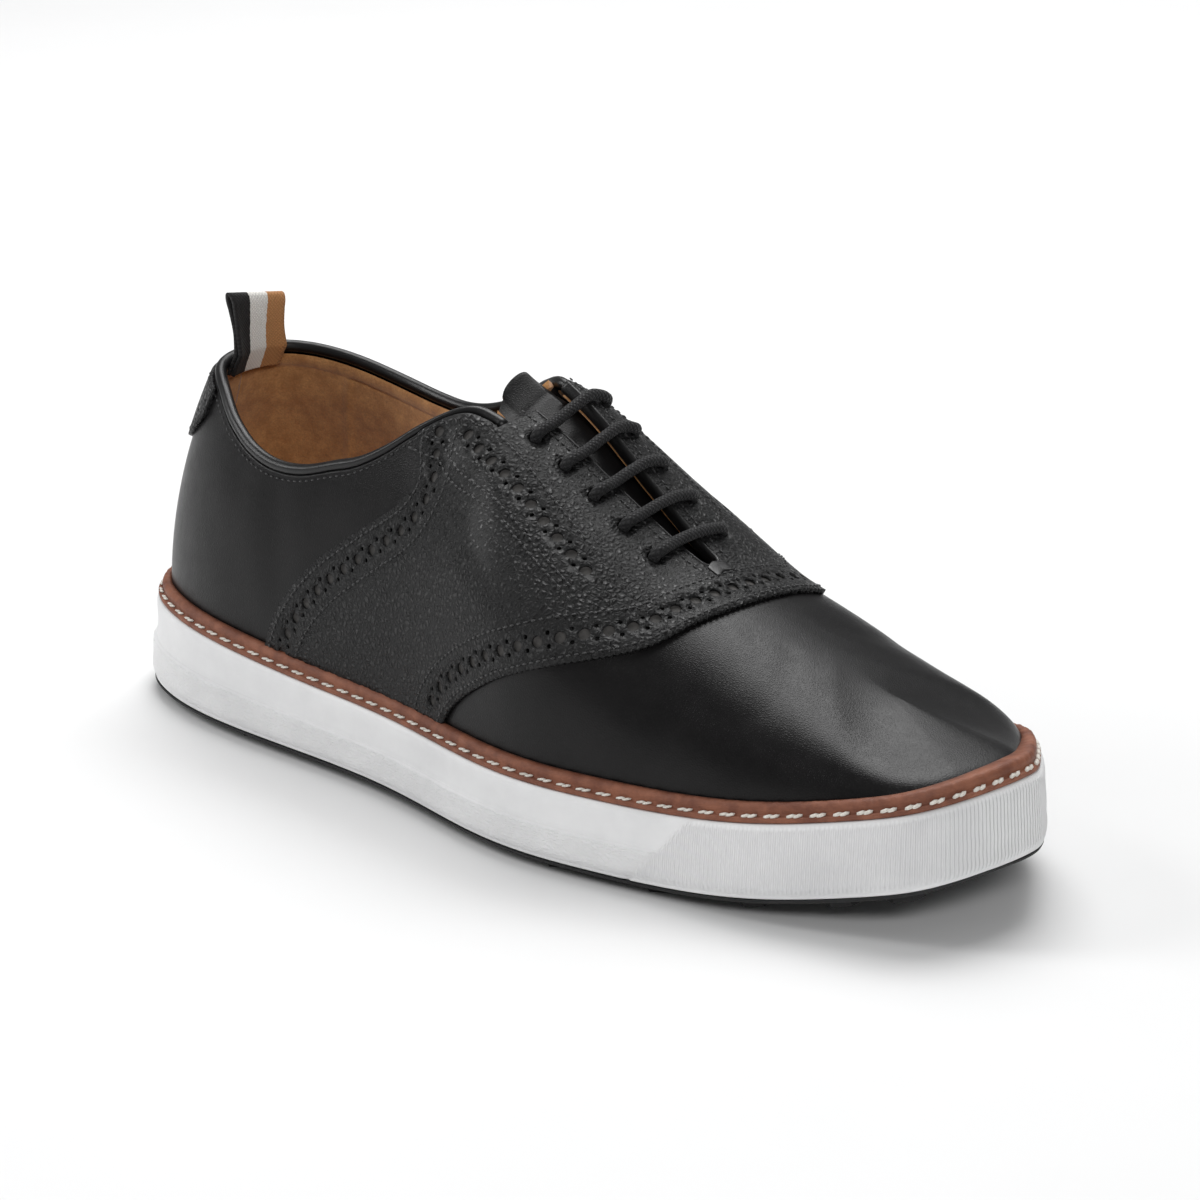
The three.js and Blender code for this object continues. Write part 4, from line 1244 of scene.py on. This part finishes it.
def make_binding():
    """The rolled binding of the collar."""
    turns = collar_route(361)
    top = wall_top(turns)
    up = unit(last(turns, top) - last(turns, top - 0.5))
    out = last_normal(turns, top)
    centre = off_last(turns, top, np.full(turns.shape, -upper_wall / 2))
    centre = centre + up * (0.1 + binding_height / 2)
    at = np.linspace(0, 1, len(turns))

    def along(values):
        return lambda u: np.stack([np.interp(u, at, values[:, k]) for k in range(3)], -1)

    bm, points, u, v = tube(
        along(centre), along(out), binding_width / 2, along(up), binding_height / 2 + 0.1, 360, 20
    )
    lay(bm, points, u, v)
    close_ends(bm)
    bmesh.ops.recalc_face_normals(bm, faces=bm.faces)
    new_piece("collar_binding_roll", bm, [trim], ["collar_binding"])


def close_ends(bm):
    open_edges = [edge for edge in bm.edges if len(edge.link_faces) == 1]
    if open_edges:
        bmesh.ops.holes_fill(bm, edges=open_edges)


def make_collar_stitching():
    bm = bmesh.new()
    for side in (-1, 1):
        line = collar_line(1, throat_top_turn - 1, side, 5.4, 2.0)
        near_saddle = line[:, 0] > (outer_rear[-1, 0] if side < 0 else inner_rear[0, 0])
        heel = line[:, 0] < 22
        for part, distance in (
            (line[near_saddle], overlay_top), (line[heel], overlay_top), (line[~near_saddle & ~heel], 0.05),
        ):
            stitch_row(bm, part, 2.4, 1.5, 0.5, distance)
    new_piece("collar_stitching", bm, [black_thread])


def make_facing_piping():
    """The glossy rolled edge round the throat."""
    line = np.concatenate([
        throat_line(throat_top_turn, throat_end_turn, -1), throat_end()[1:-1],
        throat_line(throat_end_turn, throat_top_turn, 1),
    ])
    line = spaced(line, 1.2)
    centre = on_last(line, np.full(len(line), -0.25))
    normal = chart_normal(line)
    along = unit(np.gradient(centre, axis=0))
    side = np.cross(normal, along)
    at = np.linspace(0, 1, len(line))

    def smooth(values):
        return lambda u: np.stack([np.interp(u, at, values[:, k]) for k in range(3)], -1)

    bm, points, u, v = tube(smooth(centre), smooth(side), 0.95, smooth(normal), 1.95, 150, 14)
    lay(bm, points, u, v)
    close_ends(bm)
    bmesh.ops.recalc_face_normals(bm, faces=bm.faces)
    new_piece("throat_piping", bm, [trim])


# Tongue: where it starts, comes free and ends, as shares along the ridge
tongue_bottom = 0.78
tongue_free = 0.442
tongue_top = 0.4
tongue_half_width = 25
tongue_rise = 1.5
tongue_depth = 4.8
tongue_thickness = 2.4


def turn_at_share(at):
    return np.degrees(np.arccos(np.clip(1 - 2 * at, -1, 1)))


def tongue_place(at, across, depth):
    over = turn_at_share(at)
    turn = np.where(across < 0, over, -over)
    flat = 7
    reach = np.maximum(np.abs(across), flat)
    under = off_last(turn, rise_at_reach(turn, reach), -depth)
    facing = off_last(-turn, rise_at_reach(-turn, reach), -depth)
    share = np.where(np.abs(across) < flat, (1 - np.abs(across) / flat) / 2, 0)
    share = (1 - np.cos(np.pi * share)) / 2
    point = under + (facing - under) * share[:, None]
    free = np.clip((tongue_free - at) / (tongue_free - tongue_top), 0, 1)
    crown = np.maximum(1 - (across / tongue_half_width) ** 2 * 6, 0)
    point[:, 2] += tongue_rise * free * free * crown
    return point


def make_tongue():
    bm, u, v = grid(90, 40)
    at = tongue_bottom + (tongue_top - tongue_bottom) * u
    side = 2 * v - 1
    end = np.clip((u - 0.86) / 0.14, 0, 1)
    at = at + 0.04 * np.abs(side) ** 2 * end
    start = np.clip((0.1 - u) / 0.1, 0, 1)
    width = tongue_half_width * (1 - 0.3 * end**3 - 0.25 * start**2)
    across = side * width
    seam = 0.35 * np.exp(-(((u - 0.905) / 0.008) ** 2))
    depth = tongue_depth + seam
    points = tongue_place(at, across, depth)
    lay(bm, points, u, v)
    turn_outward(bm, np.array([0, 0, 0]))
    piece = new_piece("padded_tongue", bm, [calf, tan_suede], ["tongue"])
    solid = thicken(piece, tongue_thickness)
    solid.material_offset = 1
    solid.material_offset_rim = 0
    round_over = piece.modifiers.new("rounded edge", "BEVEL")
    round_over.width = 0.9 * MM
    round_over.segments = 3
    round_over.limit_method = "ANGLE"


def curve_through(points):
    """A smooth route through points, by share of its length."""
    points = np.array(points)
    at = np.concatenate([[0], np.cumsum(np.linalg.norm(np.diff(points, axis=0), axis=1))])
    rows = {"at": at / at[-1], "x": points[:, 0], "y": points[:, 1], "z": points[:, 2]}
    return (lambda u: np.stack([through(rows, key, u) for key in "xyz"], -1)), at[-1]


def crossing_points(row):
    """One bar: up through an eyelet, over the gap and down through the other."""
    overlay = overlay_top
    lay_height = overlay + 0.15 + lace_radius
    under = -4.2
    ends = [facing_place(eyelet_rows[row], side, eyelet_reach) for side in (-1, 1)]
    points = [on_last(end) for end in ends]
    normals = [chart_normal(end) for end in ends]
    span = points[1] - points[0]
    halves = []
    for i, side in enumerate((-1, 1)):
        inward = span * (1 if i == 0 else -1)
        inward = unit(inward - normals[i] * (inward @ normals[i]))
        brink = facing_place(eyelet_rows[row], side, throat_top_gap + 1)
        halves.append([
            points[i] + normals[i] * under,
            points[i],
            points[i] + normals[i] * overlay,
            points[i] + normals[i] * (lay_height - 0.5) + inward * 0.7,
            points[i] + normals[i] * lay_height + inward * 2.4,
            on_last(brink, lay_height + 0.1),
        ])
    middle = (halves[0][5] + halves[1][5]) / 2
    middle[2] += 0.5
    return [*halves[0], middle, *halves[1][::-1]], unit(np.cross(unit(span), normals[0]))


def make_laces():
    """Five straight bars of round braided lace, with the runs hidden under the facings."""
    bm = bmesh.new()
    bm.loops.layers.uv.new("laid")
    hidden_runs = ((1, 0, 1), (-1, 0, 3), (1, 2, 4))
    routes = []
    for row in range(len(eyelet_rows)):
        points, side = crossing_points(row)
        routes.append((points, side, 0.0))
    for side, start, end in hidden_runs:
        places = [facing_place(along, side, eyelet_reach - 1.7)
                  for along in np.linspace(eyelet_rows[start], eyelet_rows[end], 7)]
        points = [on_last(place, -3.8) for place in places]
        routes.append((points, None, 1.0))
    for points, side, flat in routes:
        route, length = curve_through(points)
        columns = int(length / 0.6)
        part, u, v = grid(columns, 14)
        centre = route(u)
        along = unit(route(np.clip(u + 0.004, 0, 1)) - route(np.clip(u - 0.004, 0, 1)))
        if side is None:
            side_way = unit(np.cross(along, np.array([[0, 0, 1.0]])))
            wide, high = 1.9, 0.7
        else:
            side_way = np.repeat(side[None], len(u), 0)
            side_way = unit(side_way - along * (side_way * along).sum(-1, keepdims=True))
            wide, high = lace_radius, lace_radius
        up = np.cross(along, side_way)
        angle = 2 * np.pi * v
        place = centre + side_way * (np.cos(angle) * wide)[:, None] + up * (np.sin(angle) * high)[:, None]
        lay(part, place, u * length * MM, v)
        close_ends(part)
        bmesh.ops.recalc_face_normals(part, faces=part.faces)
        mesh = bpy.data.meshes.new("bar")
        part.to_mesh(mesh)
        part.free()
        bm.from_mesh(mesh)
        bpy.data.meshes.remove(mesh)
    new_piece("straight_bar_lace", bm, [lace_black], ["lace"])


def make_bar_tack():
    """The small patch that holds the throat's end."""
    bm, u, v = grid(14, 24)
    centre = np.array([throat_end_turn + 2.6, 1e-6])
    side = (2 * v - 1)
    along = (2 * u - 1)
    corner = 1 - 0.25 * np.abs(side) ** 6
    charts = np.repeat(centre[None], len(u), 0)
    move = np.stack([along * 2.2 * corner, side * 3.6, 0 * u], -1)
    move[:, 2] = move[:, 0] * ridge_slope(charts[:, 0])
    charts = charts + chart_step(charts, move)
    dome = 0.25 * np.sqrt(np.clip(1 - np.maximum(np.abs(side), np.abs(along)) ** 4, 0, 1))
    lay(bm, on_last(charts, overlay_top + 0.1 + dome), u, v)
    turn_outward(bm, np.array([40, 0, 0]))
    piece = new_piece("throat_tack", bm, [trim])
    thicken(piece, 0.9)


# Rows of the sidewall as shares of its height, closest round its lip and its step
sidewall_rows = np.array([
    0, 0.006, 0.018, 0.035, 0.05, 0.08, 0.14, 0.2, 0.28, 0.36, 0.42, 0.455, 0.475, 0.486,
    0.494, 0.502, 0.52, 0.56, 0.62, 0.7, 0.78, 0.86, 0.92, 0.96, 0.985, 1.0,
])
sidewall_stand = 0.78  # scales the steps, so that the smooth wall stays in the CAD model's box
sidewall_inner = 8  # how far in the wall's hidden back is

sidewall_table = table(
    "at behind front",
    (0, 2.0, 2.2),
    (0.02, 2.35, 2.5),
    (0.045, 2.35, 2.45),
    (0.07, 2.75, 2.8),
    (0.3, 2.85, 2.75),
    (0.46, 2.65, 2.6),
    (0.478, 2.55, 2.55),
    (0.495, 1.35, 2.5),
    (0.52, 1.25, 2.4),
    (0.65, 0.75, 2.05),
    (0.8, 0.65, 1.75),
    (0.9, 0.75, 1.45),
    (0.96, 0.55, 1.0),
    (1, -0.3, 0.1),
)
joint_bottom = 0.217
joint_top = 0.277


def make_midsole():
    """The white cup sole, with its raised lower band and the proud bumper round the toe."""
    at_rows = np.concatenate([[0], sidewall_rows, [1]])
    columns = 960
    bm, u, v = grid(columns, len(at_rows))
    turn = u * 360
    row = np.round(v * len(at_rows)).astype(int) % len(at_rows)
    at = at_rows[row]
    base_x, _ = outline(turn)
    near = near_turn(turn)
    joint_x = sole_length * (joint_bottom + (joint_top - joint_bottom) * at)
    past = np.clip((base_x - joint_x) / 1.0 + 0.5, 0, 1)
    past = past * past * (3 - 2 * past)
    # The step between the bands climbs at the very back of the heel
    lifted = 0.10 * np.clip((12 - near) / 12, 0, 1) ** 2
    at_moved = np.where((at > 0.06) & (at < 0.95), at - lifted * np.sin(np.pi * at), at)
    behind = through(sidewall_table, "behind", at_moved)
    front = through(sidewall_table, "front", at)
    groove = 0.5 * np.exp(-(((base_x - joint_x) / 0.7) ** 2))
    grow = sidewall_stand * (behind + (front - behind) * past) - np.where(row > 0, groove, 0)
    is_inside = (row == 0) | (row == len(at_rows) - 1)
    grow = np.where(is_inside, -sidewall_inner, grow)
    x, y = outline(turn, grow)
    low = white_bottom + spring_at(base_x)
    z = low + (rim_at(base_x) - low) * at
    low_band = np.clip((0.485 - at_moved) / 0.01, 0, 1) * (1 - past) * np.clip((at - 0.06) / 0.02, 0, 1)
    bumper = past * np.clip((at - 0.07) / 0.03, 0, 1) * np.clip((0.97 - at) / 0.03, 0, 1)
    layer = bm.loops.layers.float_color.new("band")
    for face in bm.faces:
        for loop in face.loops:
            i = loop.vert.index
            loop[layer] = (low_band[i], bumper[i], 0, 1)
    lengths = np.hypot(*np.diff(np.stack(outline(np.linspace(0, 360, 2001), 2.0)), axis=1))
    arc = np.interp(turn, np.linspace(0, 360, 2001), np.concatenate([[0], np.cumsum(lengths)]))
    lay(bm, np.stack([x, y, z], -1), arc * MM, z * MM)
    bmesh.ops.recalc_face_normals(bm, faces=bm.faces)
    new_piece("white_cup_sole", bm, [white], ["midsole"])


welt_profile = np.array([
    (1.2, 0.0), (0.1, 0.05), (-0.05, 0.35), (-0.05, 1.15), (0.1, 1.4), (0.5, 1.5), (0.95, 1.5), (1.15, 1.65),
    (1.25, 2.1), (1.3, 2.7), (1.2, 3.1), (1.25, 3.6), (1.5, 4.1), (1.9, 4.6), (2.4, 4.85), (2.9, 4.9),
])


def make_welt():
    """The brown welt: a thin flange, a stitched channel and a bead against the upper."""
    rows = len(welt_profile) + 2
    bm, u, v = grid(720, rows)
    turn = u * 360
    row = np.round(v * rows).astype(int) % rows
    x0, _ = outline(turn)
    seam = rim_at(x0) + sole_top_gap
    inset = np.append(welt_profile[:, 0], [0, 0])[row]
    rise = np.append(welt_profile[:, 1], [0, 0])[row]
    ripple = 0.12 * np.sin(turn * 2.3) + 0.1 * np.sin(turn * 5.7 + 1)
    x, y = outline(turn, -inset)
    points = np.stack([x, y, seam + rise + ripple * (rise > 4)], -1)
    top = off_last(turn, rise_at_height(turn, welt_rise), 0.1 + 0 * turn)
    bottom = off_last(turn, rise_at_height(turn, 0.02), 0.1 + 0 * turn)
    points = np.where((row == len(welt_profile))[:, None], top, points)
    points = np.where((row == len(welt_profile) + 1)[:, None], bottom, points)
    lay(bm, points, u * 0.8, v * 0.02)
    bmesh.ops.recalc_face_normals(bm, faces=bm.faces)
    new_piece("brown_welt", bm, [brown], ["welt"])


def make_welt_stitching():
    """Off-white stitches laid in the welt's channel, plumper round the toe."""
    bm = bmesh.new()
    fine = np.linspace(0, 360, 3601)
    x, y = outline(fine, -0.75)
    lengths = np.concatenate([[0], np.cumsum(np.hypot(np.diff(x), np.diff(y)))])
    count = round(lengths[-1] / 6.3)
    turns = np.interp(np.arange(count) * lengths[-1] / count, lengths, fine)
    for turn in turns:
        around = np.array([turn - 0.1, turn + 0.1])
        x, y = outline(around, -0.75)
        z = rim_at(x) + sole_top_gap + 1.75
        ends = np.stack([x, y, z], -1)
        point = ends.mean(0)
        along = unit(ends[1] - ends[0])
        toe = float(np.clip((near_turn(turn) - 120) / 30, 0, 1))
        out = np.array([along[1], -along[0], 0])
        normal = unit(out * 0.55 + np.array([0, 0, 1.0]))
        width = 0.85 + 0.55 * toe
        side = np.cross(normal, along)
        for way in (-1, 1):
            middle = point + along * way * 0.95 + normal * 0.12
            sew(bm, [middle], [along], [normal], 3.1, width, way * 0.05 + 0.32)
    new_piece("welt_stitching", bm, [pale_thread])


def make_outsole():
    """The black rubber plate that follows the toe's spring, with its lugs."""
    top = white_bottom - 0.3
    rows = np.array([
        (0.0, 0, 0), (0.5, 0, 0), (0.9, 0, 0), (1, 0, 0), (1, 0.5, 0.05), (1, 1.1, 0.45), (1, 1.75, 0.8),
        (1, 1.9, 1.1), (1, 1.9, 1.5), (0.9, 0, 1.5), (0.5, 0, 1.5), (0.0, 0, 1.5),
    ])
    bm, u, v = grid(480, len(rows) - 1)
    turn = u * 360
    row = np.round(v * (len(rows) - 1)).astype(int)
    size, grow, rise = rows[row].T
    x, y = outline(turn, grow)
    x = x * size
    y = y * size
    z = top - 1.5 + rise + spring_at(x)
    lay(bm, np.stack([x, y, z], -1), u, v)
    bmesh.ops.recalc_face_normals(bm, faces=bm.faces)
    for inset, first, final, step in ((8, 12, 52, 20), (8, 92, 157, 13), (27, 108, 144, 18)):
        for turn in np.arange(first, final + 1, step):
            for each in (turn, -turn):
                x, y = outline(each, -inset)
                lug(bm, float(x), float(y), 5.2)
    for along in (-0.37, 0.13):
        lug(bm, along * sole_length, 0, 13)
    add_nubs(bm)
    new_piece("black_outsole", bm, [tread_black], ["outsole"], smooth=False)


def lug(bm, x, y, radius, height=None, low=0.0):
    """A six-sided lug, a little wider at its top, that tilts with the toe's spring."""
    height = height or white_bottom - 0.3 - 0.75
    slope = float(spring_at(x + 2) - spring_at(x - 2)) / 4
    place = Matrix.Rotation(-math.atan(slope), 4, "Y")
    place.translation = Vector((np.array([x, y, float(spring_at(x)) + low + height / 2]) + shift) * MM)
    bmesh.ops.create_cone(
        bm, cap_ends=True, segments=6, radius1=radius * MM, radius2=radius * 1.08 * MM,
        depth=height * MM, matrix=place,
    )


def add_nubs(bm):
    """Fine nubs between the lugs."""
    for x in np.arange(-132, 140, 9.0):
        for y in np.arange(-45, 46, 9.0):
            turn = math.degrees(math.acos(-x / half_length))
            _, outer = outline(turn)
            _, inside = outline(-turn)
            if outer + 12 < y < inside - 12:
                lug(bm, float(x), float(y), 2.0, 1.4, 1.3)


def make_insole():
    """The insole node keeps its form and takes the lining's suede."""
    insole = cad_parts["insole"]
    for material_slot in insole.material_slots:
        material_slot.material = tan_suede
    if not insole.material_slots:
        insole.data.materials.append(tan_suede)


def inside_heel(across, height, depth):
    """How far back the heel's inside is, at a place across and a height."""
    turns = np.linspace(0, 40, 41)
    place = off_last(turns, rise_at_height(turns, height - foot(turns)[..., 2]), -depth + 0 * turns)
    return np.interp(np.abs(across), np.abs(place[:, 1]), place[:, 0])


def make_pull_loop():
    """The heel's pull loop: a folded striped tape, pinched a little halfway up."""
    collar = collar_height * 1.0
    thick = 1.3
    stand = 16.6
    depth = (upper_wall + binding_width + thick) / 2 + 0.75
    gap = 1.1
    top = collar + stand - gap
    half = (collar + top) / 2
    route = np.array([
        (0, collar - 7), (0, collar - 3.5), (0, collar), (0.5, half - 2), (0.1, half + 4), (0, top),
        (gap * 0.3, top + gap * 0.75), (gap, top + gap), (gap * 1.7, top + gap * 0.75),
        (gap * 2, top), (gap * 1.9, half + 4), (gap * 1.5, half - 2), (gap * 1.6, collar),
        (gap * 1.6, collar - 3.5), (gap * 1.6, collar - 7),
    ])
    at = np.concatenate([[0], np.cumsum(np.linalg.norm(np.diff(route, axis=0), axis=1))])
    length = at[-1]
    rows = {"at": at / length, "x": route[:, 0], "z": route[:, 1]}
    bm, u, v = grid(120, 16)
    x = through(rows, "x", u)
    z = through(rows, "z", u)
    y = (v - 0.5) * 19
    free = np.clip((z - collar) / stand, 0, 1)
    height = np.minimum(z, collar - 0.3)
    levels = np.linspace(height.min(), height.max(), 12)
    backs = np.array([inside_heel(np.linspace(0, 9.5, 9), level, depth) for level in levels])
    seats = np.zeros(len(u))
    flats = np.zeros(len(u))
    for i in range(len(u)):
        column = [np.interp(abs(y[i]), np.linspace(0, 9.5, 9), back) for back in backs]
        seats[i] = np.interp(height[i], levels, column)
        column = [np.interp(4.75, np.linspace(0, 9.5, 9), back) for back in backs]
        flats[i] = np.interp(height[i], levels, column)
    seat = seats + (flats - seats) * free
    pinch = 1 - 0.06 * np.sin(np.pi * free)
    points = np.stack([seat + x + 0.15 * y * free, y * pinch, z - 0.14 * y * free], -1)
    lay(bm, points, u * length * MM, v * 19 * MM)
    bmesh.ops.recalc_face_normals(bm, faces=bm.faces)
    piece = new_piece("heel_pull_loop", bm, [tape_stripes], ["pull_tab"])
    thicken(piece, 1.1, 0.0)


make_camera()
make_studio()
make_upper()
make_lining()
make_saddle()
make_saddle_stitching()
make_heel_tab()
make_binding()
make_collar_stitching()
make_facing_piping()
make_tongue()
make_laces()
make_bar_tack()
make_midsole()
make_welt()
make_welt_stitching()
make_outsole()
make_insole()
make_pull_loop()
